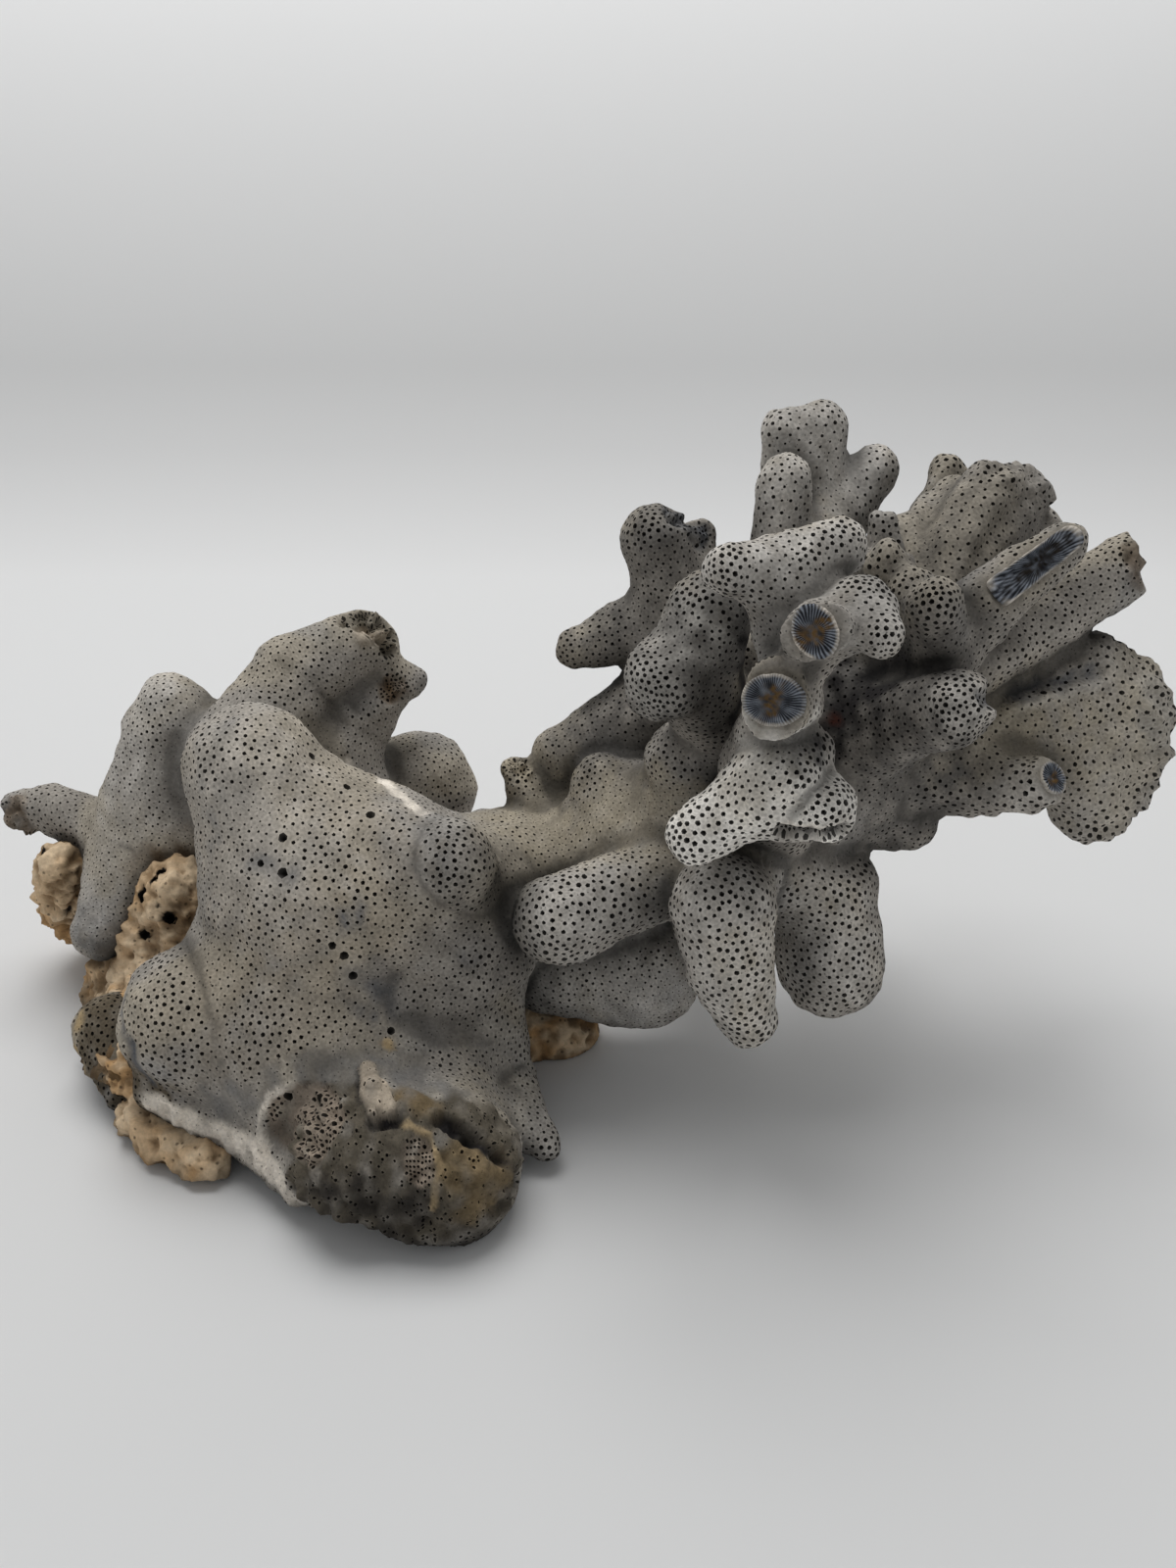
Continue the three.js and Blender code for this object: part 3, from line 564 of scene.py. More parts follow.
CORAL_MARKS = {
    "warm crust": Mark([(260, 1040), (330, 950), (280, 830)], 13, 8, WARM, 0.5),
    "shaded low crust": Mark([(210, 1100), (300, 1050), (380, 1060)], 6, 5, PAINTED_SHADE, 0.3),
    # Painted light on the prongs, fingers, belly, stalk, knob, lobe, top and fan, where they face the light
    "painted light on the prongs": Mark([(708, 856), (790, 790), (845, 828)], 7, 3, PAINTED_BRIGHT_LIGHT, 1.0),
    "painted light on the middle finger": Mark([(738, 925), (767, 1040)], 7, 3, PAINTED_LIGHT, 0.45),
    "painted light on the right finger": Mark([(842, 940), (848, 990)], 7, 3, PAINTED_LIGHT, 0.45),
    "painted light on the left finger": Mark([(572, 938), (660, 905)], 7, 3, PAINTED_LIGHT, 0.45),
    "painted light on the belly": Mark([(560, 985), (655, 990), (650, 1030)], 8, 4, PAINTED_LIGHT, 0.6),
    "painted light on the stalk": Mark([(740, 580), (800, 585), (855, 555)], 5, 3, PAINTED_LIGHT, 0.6),
    "painted light on the upper finger": Mark([(668, 702), (728, 628)], 5, 2, PAINTED_BRIGHT_LIGHT, 0.9),
    "painted light on the knob": Mark([(897, 640)], 4, 2, PAINTED_LIGHT, 0.5),
    "painted light on the lobe": Mark([(974, 721)], 5, 2, PAINTED_LIGHT, 0.7),
    "painted light on the top": Mark([(802, 440), (842, 437), (888, 478), (799, 488)], 8, 4, PAINTED_LIGHT, 0.5),
    "painted light on the right fan": Mark([(1140, 700), (1165, 760), (1120, 820)], 5, 4, PAINTED_LIGHT, 0.25),
    "dusty fan": Mark([(1050, 735), (1120, 750), (1090, 770)], 8, 5, DUST, 0.5),
    # Painted light on the crown of the crust and on a lobe of the fan
    "painted light on the crown of the crust": Mark([(262, 790), (285, 860)], 9, 6, PAINTED_LIGHT, 0.3),
    "painted light on a fan lobe": Mark([(1045, 800)], 5, 2, PAINTED_LIGHT, 0.35),
    # Painted shade on the crown, the left head, the low arm and the rear fan, which lie back from the light
    "painted shade on the crown": Mark([(920, 690), (950, 770), (930, 830)], 9, 6, PAINTED_SHADE, 0.9),
    "painted shade on the left head": Mark([(665, 545), (688, 610), (620, 655)], 8, 4, PAINTED_SHADE, 0.65),
    "painted shade on the low arm": Mark([(590, 765), (690, 700)], 8, 4, PAINTED_SHADE, 0.65),
    "painted shade on the rear fan": Mark([(1010, 520), (960, 600)], 12, 5, PAINTED_SHADE, 0.4),
    # Painted light on the left column and the skirt, whose fronts get less lamp light, and painted shade on
    # the right of the crust
    "painted light on the left column": Mark([(160, 720), (140, 800)], 8, 4, PAINTED_LIGHT, 0.35),
    "painted light on the skirt": Mark([(520, 1100), (552, 1172)], 6, 4, PAINTED_LIGHT, 0.35),
    "painted shade on the right of the crust": Mark([(480, 880), (505, 1000), (520, 1100)], 8, 6, PAINTED_SHADE, 0.45),
    # Painted shade in the gap beside the stalk, in the recess behind it and under it
    "painted shade in the gap beside the stalk": Mark([(764, 645), (760, 690), (750, 735)], 2.2, 1.2, DIRT_AND_SHADE, 0.9, pores=0.3),
    "painted shade in the recess behind the stalk": Mark([(845, 738), (880, 708), (905, 690)], 5, 3, DIRT_AND_SHADE, 0.85),
    "shade under the stalk": Mark([(830, 765), (850, 745)], 2.5, 2, DIRT_AND_SHADE, 0.7),
    "dusty trunk": Mark([(520, 810), (600, 850), (680, 840)], 8, 4, DUST, 0.6, pores=0.8),
    "dusty foot of the prongs": Mark([(760, 800)], 4, 3, DUST, 0.35, pores=0.8),
    "bare belly": Mark([(590, 1040), (650, 1030), (700, 1000)], 3.5, 3, SLATE, 0.3, pores=0.5),
    "bare snout": Bare([(104, 940), (110, 972)], 5, 3, SLATE, 0.6),
    "faint pores on the left column": Mark([(120, 850), (112, 920)], 6, 4, GREY, 0.3, pores=0.7),
    "brown shade on the column": Mark([(160, 882), (185, 872)], 3, 2.5, BROWN, 0.7, pores=0.4),
    "flank": Mark([(108, 1040), (112, 1080), (140, 1115)], 6.5, 1.5, FLANK, 0.95),
    "flank edge": Bare([(82, 1040), (78, 1075), (98, 1118)], 1.0, 0.6, TAN, 0.9, rough=0.2, fine=0.5),
    "lip over the flank": Bare(
        [(122, 1000), (121, 1030), (136, 1070), (152, 1104)],
        0.8, 0.6, SMUDGE_AND_SHADE, 0.9, rise=-0.3, fine=0.5,
    ),
    "bare band": Bare([(225, 1128), (320, 1095), (400, 1088), (470, 1122)], 2.6, 2, SLATE, 0.5, fine=0.6),
    "dirty foot": Mark(
        [(335, 1170), (420, 1205), (490, 1185)],
        9.5, 1.2, OLIVE, 0.95, rough=0.26, fine=0.42,
    ),
    "mud on the foot": Mark([(470, 1190), (500, 1205), (490, 1225)], 3.4, 1.5, MUD, 0.8),
    "mud by the peg": Bare([(415, 1120), (440, 1132)], 1.6, 0.8, MUD, 0.9, rise=0.3),
    "dark foot": Mark([(365, 1222), (410, 1238), (425, 1230)], 2.6, 2, DIRT_AND_SHADE, 0.6),
    "dark foot at the left": Mark([(322, 1212), (335, 1228)], 2.0, 1.5, DIRT_AND_SHADE, 0.55),
    "dark foot edge": Mark([(360, 1262), (440, 1276), (500, 1252)], 1.4, 1.2, DIRT_AND_SHADE, 0.5),
    "ridge on the foot": Bare(
        [(412, 1146), (440, 1160), (448, 1190), (442, 1232)],
        0.45, 0.3, TAN, 0.7, rise=0.5,
    ),
    "crust edge": Bare(
        [(155, 1126), (200, 1150), (240, 1167), (264, 1180)],
        2.1, 0.7, CREAM, 1.0, rough=0.18, fine=0.45,
    ),
    "crust edge at the foot": Bare(
        [(264, 1180), (285, 1205), (304, 1230)],
        1.5, 0.5, CREAM, 0.9, rough=0.15, fine=0.45,
    ),
    "scar": Mark(
        [(290, 1150), (296, 1128), (318, 1126), (330, 1145), (316, 1166)],
        2.9, 0.4, SPONGE, 1.0, pores=1.4, rise=-0.5, rough=0.15, fine=0.55,
    ),
    "rim of the scar": Bare(
        [(266, 1168), (263, 1145), (275, 1120), (297, 1106)],
        0.5, 0.3, CREAM, 0.8, rise=0.3, fine=0.45,
    ),
    "second scar": Mark(
        [(426, 1176), (428, 1194)],
        1.9, 0.3, SPONGE, 0.9, pores=1.3, rise=-0.5, rough=0.15, fine=0.5,
    ),
    "shade beside the peg": Bare([(366, 1092), (368, 1125)], 0.6, 0.4, DIRT_AND_SHADE, 0.6, fine=0.4),
    "peg": Mark([(375, 1092), (380, 1112)], 1.1, 0.25, PEG, 1.0, pores=0.8, rise=0.7, fine=0.4),
    "foot of the peg": Mark([(382, 1114), (390, 1132)], 1.9, 0.25, PEG, 1.0, pores=0.8, rise=0.9, fine=0.4),
    # Dents in the foot, painted near black: painted shade in the hollows and the crack
    "hollow": Bare([(452, 1142), (470, 1152), (484, 1160)], 1.2, 0.5, DIRT_AND_SHADE, 1.0, rise=-2.5, fine=0.5),
    "crack beside the skirt": Bare(
        [(484, 1160), (505, 1180), (530, 1208)],
        0.8, 0.5, DIRT_AND_SHADE, 0.9, rise=-1.2, fine=0.5,
    ),
    "hollow under the peg": Bare([(380, 1146), (402, 1143)], 0.9, 0.5, DIRT_AND_SHADE, 1.0, rise=-1.6, fine=0.5),
    "filled hole": Bare([(395, 1066)], 0.8, 0.3, TAN, 1.0, rise=0.2, fine=0.4),
    "upper smudge": Mark([(357, 940)], 1.8, 1.5, SMUDGE_AND_SHADE, 0.7),
    "lower smudge": Mark([(375, 1000), (390, 1020)], 3.0, 2.5, SMUDGE_AND_SHADE, 0.6, pores=0.7),
    "slit smudge": Mark([(258, 879), (295, 892)], 1.4, 1.3, SMUDGE_AND_SHADE, 0.45),
    "right smudge": Mark([(480, 970)], 1.6, 1.5, SMUDGE_AND_SHADE, 0.5),
    "pale scar": Bare([(356, 777), (395, 800), (431, 829)], 0.9, 0.4, CREAM, 0.85, rise=-0.2, fine=0.5),
    "broken column top": Mark(
        [(362, 628), (388, 636), (397, 654)],
        3.0, 0.6, OLIVE, 0.9, 1.8, -0.8, 0.5, 0.6,
    ),
    "middle of the broken top": Mark([(369, 648), (387, 652)], 1.5, 0.6, PEG, 0.7, 0.0, 0.2, 0.4, 0.5),
    "broken column side": Mark([(402, 704)], 2.5, 0.4, SPONGE, 0.95, 1.7, -0.6, 0.4, 0.5),
    "heart of the broken side": Mark([(397, 700), (404, 712)], 1.0, 0.8, BROWN, 0.8),
    "broken neck stub": Mark([(530, 783)], 2.2, 0.8, DUST, 0.9, 1.5, -0.4, 0.4, 0.6),
    "broken left head": Mark([(690, 525), (716, 548)], 2.0, 0.8, SMUDGE_AND_SHADE, 0.7, 1.5, -0.4, 0.4, 0.6),
    "broken stub": Mark([(14, 822), (24, 845)], 2.0, 0.6, BROWN, 0.6, 0.5, 0.0, 0.5, 0.5),
    "broken finger": Mark([(1155, 560), (1164, 590)], 1.6, 0.6, BROWN, 0.5, 0.8, 0.0, 0.4, 0.5),
    "ragged prong": Mark([(800, 850), (830, 854), (860, 848)], 1.2, 0.4, DIRT_AND_SHADE, 0.85, 1.8, -0.9, 0.4, 0.5),
    "edge of the ragged prong": Mark(
        [(800, 842), (830, 845), (862, 838)],
        0.4, 0.3, CREAM, 0.5, 0.0, 0.2, 0.2, 0.5,
    ),
    # A groove across the fan with painted shade in it, and painted light on the raised edge under it
    "fold of the fan with painted shade": Mark(
        [(1008, 714), (1040, 706), (1080, 696), (1115, 686)],
        1.3, 0.9, SMUDGE_AND_SHADE, 0.75, rise=-1.3,
    ),
    "painted light on the edge under the fold": Mark(
        [(1012, 728), (1045, 718), (1085, 708), (1118, 697)],
        0.9, 0.8, PAINTED_LIGHT, 0.35, rise=0.6,
    ),
    "rust": Mark([(850, 735)], 1.1, 0.8, RUST, 0.6),
}

# Holes wider than pores, as photo pixels and radii
HOLES = {
    "crown": ((319, 771), 0.65),
    "crown right": ((354, 803), 0.6),
    "ringed": ((378, 833), 0.7),
    "left": ((289, 855), 0.7),
    "slit": ((266, 881), 0.55),
    "second slit": ((289, 891), 0.8),
    "middle upper": ((339, 965), 0.6),
    "middle": ((351, 976), 0.7),
    "middle lower": ((360, 995), 0.65),
    "beside the filled hole": ((399, 1052), 0.6),
    "scar left": ((294, 1119), 0.7),
    "scar right": ((325, 1120), 0.7),
}


# How far a mark's edge wanders
RAGGEDNESS = 0.35


class Marks:
    """Marks as runs of points on a surface."""

    def __init__(self, field, table):
        self.table = table
        self.runs = {}
        for name, m in table.items():
            self.runs[name] = np.array([field.seen_at(pixel) for pixel in m.pixels])

    def covers(self, points, effect):
        """Yields each mark that has the effect, with how strongly it covers each point."""
        ragged = RAGGEDNESS * waves(points, 3.5, 50)
        for name, m in self.table.items():
            if getattr(m, effect) is None:
                continue
            run = self.runs[name]
            reach = m.reach + 2 * m.edge
            near = ((points > run.min(0) - reach) & (points < run.max(0) + reach)).all(1)
            here = points[near]
            distance = np.full(len(here), np.inf)
            for a, b in zip(run, run[1:] if len(run) > 1 else run):
                along = np.clip((here - a) @ (b - a) / max((b - a) @ (b - a), TINY), 0, 1)
                distance = np.minimum(distance, length(here - a - along[:, None] * (b - a)))
            distance += ragged[near] * m.edge
            cover = np.zeros(len(points))
            cover[near] = 1 - smooth_step(m.reach - m.edge, m.reach + m.edge, distance)
            yield m, cover


coral_marks = Marks(skin, CORAL_MARKS)


def scatter(points, spacing, first, first_gap):
    """Picks points at least a good part of the spacing apart, the given ones first."""
    tree = kdtree.KDTree(len(points))
    for index, point in enumerate(points.tolist()):
        tree.insert(point, index)
    tree.balance()
    gap = SEED_GAP * spacing
    gap[first] = first_gap
    order = np.concatenate([first, np.random.default_rng(SEED).permutation(len(points))])
    covered = np.zeros(len(points), bool)
    picked = []
    for index in order.tolist():
        if covered[index]:
            continue
        picked.append(index)
        for _, near, _ in tree.find_range(points[index], gap[index]):
            covered[near] = True
    return np.array(picked)


def spread(points, edges, seeds, label):
    """Gives each point the label of the seed that is nearest along the surface."""
    distance = np.full(len(points), np.inf)
    known = label >= 0
    distance[known] = length(points[known] - seeds[label[known]])
    while True:
        source = label[edges[:, 0]]
        near = edges[source >= 0]
        source = source[source >= 0]
        reach = length(points[near[:, 1]] - seeds[source])
        better = reach < distance[near[:, 1]] - TINY
        if not better.any():
            return label
        order = np.argsort(-reach[better])
        target = near[better, 1][order]
        distance[target] = reach[better][order]
        label[target] = source[better][order]


def closed(net):
    """The net with triangles put in where some are missing."""
    sides = {(a, b) for t in net.tolist() for a, b in zip(t, t[1:] + t[:1])}
    onward = {b: a for a, b in sides if (b, a) not in sides}
    extra = []
    while onward:
        first, point = onward.popitem()
        loop = []
        while point in onward:
            loop.append(point)
            point = onward.pop(point)
        if point == first:
            extra += [(first, a, b) for a, b in zip(loop, loop[1:])]
    return np.array(net.tolist() + extra)


def pore_net(field, spacing_at, holes):
    """Seeds spread evenly over a surface, and the triangles between neighbours."""
    points, quads = field.mesh()
    halves = np.concatenate([quads[:, [0, 1, 2]], quads[:, [0, 2, 3]]])
    corner, ahead, behind = points[halves].swapaxes(0, 1)
    sides = np.cross(ahead - corner, behind - corner)
    weight = np.bincount(halves.ravel(), np.repeat(length(sides), 3), len(points))
    pairs = [quads[:, [i, (i + step) % 4]] for i, step in ((0, 1), (1, 1), (2, 1), (3, 1), (0, 2), (1, 2))]
    edges = np.unique(np.sort(np.concatenate(pairs), 1), axis=0)
    edges = np.concatenate([edges, edges[:, ::-1]])
    hole_points = np.array([point for point, _ in holes])
    first = np.array([np.argmin(((points - point) ** 2).sum(1)) for point in hole_points])
    gaps = np.array([radius + HOLE_RIM for _, radius in holes])
    picked = scatter(points, spacing_at(points), first, gaps)
    seeds = points[picked]
    label = np.full(len(points), -1)
    label[picked] = np.arange(len(seeds))
    label = spread(points, edges, seeds, label)
    for _ in range(EVEN_PASSES):
        total = np.maximum(np.bincount(label, weight, len(seeds)), TINY)
        moved = [np.bincount(label, weight * points[:, axis], len(seeds)) / total for axis in range(3)]
        seeds = np.stack(moved, 1)
        seeds[: len(first)] = hole_points
        order = np.lexsort((length(points - seeds[label]), label))
        nearest = order[np.r_[True, np.diff(label[order]) > 0]]
        fresh = np.full(len(points), -1)
        fresh[nearest] = label[nearest]
        label = spread(points, edges, seeds, fresh)
    corners = label[halves]
    differ = (corners != np.roll(corners, 1, 1)).all(1)
    net = corners[differ]
    turn = (net.argmin(1)[:, None] + np.arange(3)) % 3
    net = np.unique(np.take_along_axis(net, turn, 1), axis=0)
    keys = {tuple(t) for t in net.tolist()}
    keep = [(a, c, b) not in keys for a, b, c in net.tolist()]
    return field.settle(seeds), closed(net[keep])


def broken_away(points, margin):
    """Which points lie on a broken face, or within a margin of one."""
    found = np.zeros(len(points), bool)
    for end in BROKEN_ENDS.values():
        apart = points - end.centre
        near = length(apart) < end.reach + margin
        found |= near & (np.abs(apart @ end.normal) < margin)
    return found


# Where each fan's ridges spread from, how many there would be all round, how high they are, and the
# distances over which they and the ragged rim begin
FAN_ROOTS = {"rear_fan": (50, 64), "right_fan": (52, 50)}
FAN_RIDGES = 36
FAN_RIDGE_HEIGHT = 0.28
FAN_RIDGE_START = (8, 18)
FAN_RIM = (24, 34)

# How far the skin lies under a broken face
FACE_SINK = 0.15


def fan_ridges(points):
    """Ridges that run out over the fans, and their ragged rims."""
    height = np.zeros(len(points))
    owner = owner_at(points)
    for name, (x, z) in FAN_ROOTS.items():
        on = owner == list(BRANCHES).index(name)
        aside = points[on, 0] - x
        upward = points[on, 2] - z
        out = np.hypot(aside, upward)
        ridge = np.cos(FAN_RIDGES * np.arctan2(upward, aside) + waves(points[on], 14, 10))
        ragged = waves(points[on], 2.4, 11)
        ridge = ridge * smooth_step(*FAN_RIDGE_START, out)
        height[on] = FAN_RIDGE_HEIGHT * (ridge + ragged * smooth_step(*FAN_RIM, out))
    return height


# Relief of the skin: its swells and ripples, and the height that it fades in over
SWELL = 0.16
RIPPLE = 0.08
FADE_HEIGHT = 1.5


def relief(points):
    """How far the skin stands above the smooth limbs."""
    height = SWELL * waves(points, 8, 1) + RIPPLE * waves(points, 3, 2) + fan_ridges(points)
    for m, cover in coral_marks.covers(points, "rise"):
        height = height + cover * m.rise
    rough = waves(points, 2.6, 9) + 0.5 * waves(points, 1.3, 12)
    for m, cover in coral_marks.covers(points, "rough"):
        height = height + cover * m.rough * rough
    height[broken_away(points, 0.3)] = -FACE_SINK
    return height * smooth_step(0, FADE_HEIGHT, points[:, 2])


def fineness(points):
    """How much closer the net is under the marks, and how many of its points are pores."""
    closer = np.ones(len(points))
    chance = np.ones(len(points))
    for m, cover in coral_marks.covers(points, "fine"):
        closer = closer + (m.fine - closer) * cover
        pitted = m.pores is not None and m.pores > 1
        chance = chance + ((1 if pitted else m.fine ** 2) - chance) * cover
    return closer, chance


# How the net's spacing changes on sides, tips and beside broken faces, and how the pores' widths vary
SIDE_SPACING = 1.05
TIP_CLOSING = 0.22
FACE_SPACING = 0.6
PORE_SPREAD = (0.8, 1.15)
HOLLOW_PORES = 0.75
HOLLOW_BEND = (-0.05, 0.12)
BARE_FLOOR = 1.2


def pore_spacing(points):
    """Closer on the tips of fingers, and where a mark needs a finer net."""
    spacing = np.array([wide for wide, _ in PORES.values()])[owner_at(points)]
    spacing = spacing * (SIDE_SPACING - TIP_CLOSING * skin.tip(points)) * fineness(points)[0]
    return np.where(broken_away(points, 0.8), FACE_SPACING, 1) * spacing


def pore_radius(points, field, gap):
    """Widest on tips, narrow in hollows, none in creases, on the floor or where the skin is bare."""
    dice = np.random.default_rng(SEED + 3)
    bend = field.bend(points)
    size = np.array([radius for _, radius in PORES.values()])[owner_at(points)]
    size = size * (1 + (TIP_PORES - 1) * field.tip(points)) * dice.uniform(*PORE_SPREAD, len(points))
    size = size * (HOLLOW_PORES + (1 - HOLLOW_PORES) * smooth_step(*HOLLOW_BEND, bend))
    size = size * np.clip(1.0 + 0.1 * waves(points, 9, 4), 0.7, 1.2)
    wider = np.ones(len(points))
    for m, cover in coral_marks.covers(points, "pores"):
        wider = wider + (m.pores - wider) * cover
    size = np.minimum(size * wider, WIDEST_PORE_TO_GAP * gap)
    shut = (size < LEAST_PORE) | (points[:, 2] < BARE_FLOOR) | (bend < CREASE) | broken_away(points, 0.7)
    return np.where(shut | (dice.random(len(points)) > fineness(points)[1]), 0, size)


# Shares of dust and slate, and the light in narrow gaps, in the open and in creases
DUST_SHARE = 0.5
SLATE_SHARE = 0.35
GAP_LIGHT = 0.32
OPEN_LIGHT = 0.91
CREASE_SHADE = 0.45
DEEP_CREASE = -0.35


def paint(points, normals):
    """Colour of the coral's skin: grey with dust and slate clouds, then the marks, with painted shade in
    narrow gaps and creases.
    """
    colour = np.tile(GREY, (len(points), 1))
    dusty = smooth_step(0.2, 1.3, waves(points, 22, 5) + 0.9 * normals[:, 2])
    slaty = smooth_step(0.5, 1.6, waves(points, 14, 6))
    colour = blend(colour, DUST, DUST_SHARE * dusty)
    colour = blend(colour, SLATE, SLATE_SHARE * slaty)
    cloud = np.clip(1 + 0.25 * waves(points, 3, 7), 0.4, 1.3)
    for m, cover in coral_marks.covers(points, "colour"):
        colour = blend(colour, m.colour, np.clip(cover * m.strength * cloud, 0, 1))
    light = np.clip(1 + 0.07 * waves(points, 5, 8), 0.75, 1.25)
    light = light * (GAP_LIGHT + OPEN_LIGHT * room.openness(points, normals))
    light = light * (1 - CREASE_SHADE * smooth_step(0, DEEP_CREASE, room.bend(points)))
    return colour * light[:, None]


class Skin:
    """The pored skin as one surface. Each pore has a ring of points around it and a point at its bottom, and
    each triangle between three pores has a hub."""

    def __init__(self, field, seeds, net, radius_at):
        count = len(seeds)
        normal = field.normal(seeds)
        ahead = np.roll(net, -1, 1)
        behind = np.roll(net, 1, 1)
        keys, place = np.unique(np.stack([net * count + ahead, net * count + behind]), return_inverse=True)
        place = place.reshape(2, len(net), 3)
        start, end = np.divmod(keys, count)
        heading = seeds[end] - seeds[start]
        gap = np.full(count, np.inf)
        np.minimum.at(gap, start, length(heading))
        corner = seeds[net[:, 0]]
        flat = unit(np.cross(seeds[ahead[:, 0]] - corner, seeds[behind[:, 0]] - corner))
        level = np.ones(count)
        np.minimum.at(level, net, (flat[:, None] * normal[net]).sum(-1))
        radius = np.where(level < STEEPEST_PORE, 0, radius_at(seeds, field, gap))
        heading = unit(heading - normal[start] * (heading * normal[start]).sum(1, keepdims=True))
        rim = seeds[start] + heading * radius[start, None]
        hub = seeds[net].mean(1)
        first_hub = count + len(rim)
        ring = slice(count, first_hub)
        outer = np.concatenate([seeds, field.settle(rim), field.settle(hub)])
        self.normals = field.normal(outer)
        self.colours = paint(outer, self.normals)
        self.colours[ring] *= HALO
        outer += self.normals * relief(outer)[:, None]
        outer[ring] += self.normals[ring] * PORE_LIP
        outer[:count] -= normal * np.minimum(PORE_DEPTH, DEPTH_TO_RADIUS * radius)[:, None]
        # Painted shade at the bottom of each open pore
        self.colours[:count][radius > 0] *= PORE_SHADE
        self.points = outer
        shut = radius == 0
        self.ring_of = np.full(len(outer), -1)
        self.ring_of[ring] = start
        self.ring_of[ring][shut[self.ring_of[ring]]] = -1
        ahead_rim = np.where(shut[net], net, place[0] + count)
        behind_rim = np.where(shut[net], net, place[1] + count)
        border = np.stack([behind_rim, ahead_rim], 2).reshape(len(net), 6)
        hub_index = np.broadcast_to((np.arange(len(net)) + first_hub)[:, None], border.shape)
        fan = np.stack([hub_index, border, np.roll(border, -1, 1)], 2)
        which = np.broadcast_to(np.arange(len(net))[:, None], border.shape)
        live = fan[..., 1] != fan[..., 2]
        wall = np.stack([ahead_rim, behind_rim, net], 2)
        open_corner = ~shut[net]
        wall_of = np.nonzero(open_corner)[0]
        self.triangles = np.concatenate([fan[live], wall[open_corner]])
        self.in_pore = np.arange(len(self.triangles)) >= live.sum()
        self.owner = owner_at(hub)[np.concatenate([which[live], wall_of])]


def new_object(name, data):
    made = bpy.data.objects.new(name, data)
    bpy.context.scene.collection.objects.link(made)
    return made


def add_mesh(name, points, faces, colours, materials, material_index=None, sharp_ring=None):
    """A mesh object from arrays in millimetres, with a painted colour at each point."""
    mesh = bpy.data.meshes.new(name)
    size = faces.shape[1]
    mesh.vertices.add(len(points))
    mesh.vertices.foreach_set("co", (points * MM).astype(np.float32).ravel())
    mesh.loops.add(faces.size)
    mesh.loops.foreach_set("vertex_index", faces.astype(np.int32).ravel())
    mesh.polygons.add(len(faces))
    mesh.polygons.foreach_set("loop_start", np.arange(0, faces.size, size, dtype=np.int32))
    mesh.polygons.foreach_set("use_smooth", np.ones(len(faces), bool))
    if material_index is not None:
        mesh.polygons.foreach_set("material_index", material_index.astype(np.int32))
    mesh.update(calc_edges=True)
    shade = mesh.attributes.new("paint", "FLOAT_COLOR", "POINT")
    rgba = np.column_stack([colours, np.ones(len(points))]).astype(np.float32)
    shade.data.foreach_set("color", rgba.ravel())
    if sharp_ring is not None:
        ends = np.empty(len(mesh.edges) * 2, np.int32)
        mesh.edges.foreach_get("vertices", ends)
        first, last = sharp_ring[ends.reshape(-1, 2)].T
        sharp = mesh.attributes.new("sharp_edge", "BOOLEAN", "EDGE")
        sharp.data.foreach_set("value", (first >= 0) & (first == last))
    for material in materials:
        mesh.materials.append(material)
    return new_object(name, mesh)


def feed(tree, node, inputs):
    """Gives each input of a node its value, or links it to the output that it follows."""
    for name, source in inputs.items():
        if isinstance(source, bpy.types.NodeSocket):
            tree.links.new(source, node.inputs[name])
        else:
            node.inputs[name].default_value = source


def add_node(tree, kind, inputs, operation=None):
    node = tree.nodes.new("ShaderNode" + kind)
    if operation:
        node.operation = operation
    feed(tree, node, inputs)
    return node


def map_range(tree, value, low, high, least, most):
    span = {"From Min": low, "From Max": high, "To Min": least, "To Max": most}
    return add_node(tree, "MapRange", {"Value": value, **span}).outputs["Result"]


def object_place(tree):
    return add_node(tree, "TexCoord", {}).outputs["Object"]


def new_material(name, gloss):
    """A dull material, the tree of its nodes and its shader."""
    material = bpy.data.materials.new(name)
    material.use_nodes = True
    tree = material.node_tree
    shader = tree.nodes["Principled BSDF"]
    feed(tree, shader, {"Roughness": DULLNESS, "Specular IOR Level": gloss})
    return material, tree, shader


# The materials: how dull they are, and the contrast of their grain and specks
DULLNESS = 0.9
CHALK_GLOSS = 0.25
PAPER_GLOSS = 0.1
GRAIN = {"Detail": 4, "Roughness": 0.65}
GRAIN_RANGE = (0.3, 0.7)
GRAIN_CONTRAST = 0.22
SPECK_RANGE = (0.1, 0.2)
SPECK_DARKNESS = 0.35
BUMP_STRENGTH = 0.6


def painted(name, brightness, grain, bump, specks=0.0):
    """A chalky material: painted colour, fine grain at a scale in millimetres, and pinhole specks."""
    material, tree, shader = new_material(name, CHALK_GLOSS)
    colour = add_node(tree, "Attribute", {})
    colour.attribute_name = "paint"
    place = object_place(tree)
    height = add_node(tree, "TexNoise", {"Vector": place, "Scale": 1 / (grain * MM), **GRAIN}).outputs["Fac"]
    darkest, palest = brightness * (1 - GRAIN_CONTRAST), brightness * (1 + GRAIN_CONTRAST)
    level = map_range(tree, height, *GRAIN_RANGE, darkest, palest)
    if specks:
        cells = add_node(tree, "TexVoronoi", {"Vector": place, "Scale": 1 / (specks * MM)})
        dots = map_range(tree, cells.outputs["Distance"], *SPECK_RANGE, SPECK_DARKNESS, 1.0)
        level = add_node(tree, "Math", {0: level, 1: dots}, "MULTIPLY").outputs["Value"]
    tint = add_node(tree, "VectorMath", {"Vector": colour.outputs["Color"], "Scale": level}, "SCALE")
    rough = add_node(tree, "Bump", {"Height": height, "Strength": BUMP_STRENGTH, "Distance": bump * MM})
    feed(tree, shader, {"Base Color": tint.outputs["Vector"], "Normal": rough.outputs["Normal"]})
    return material


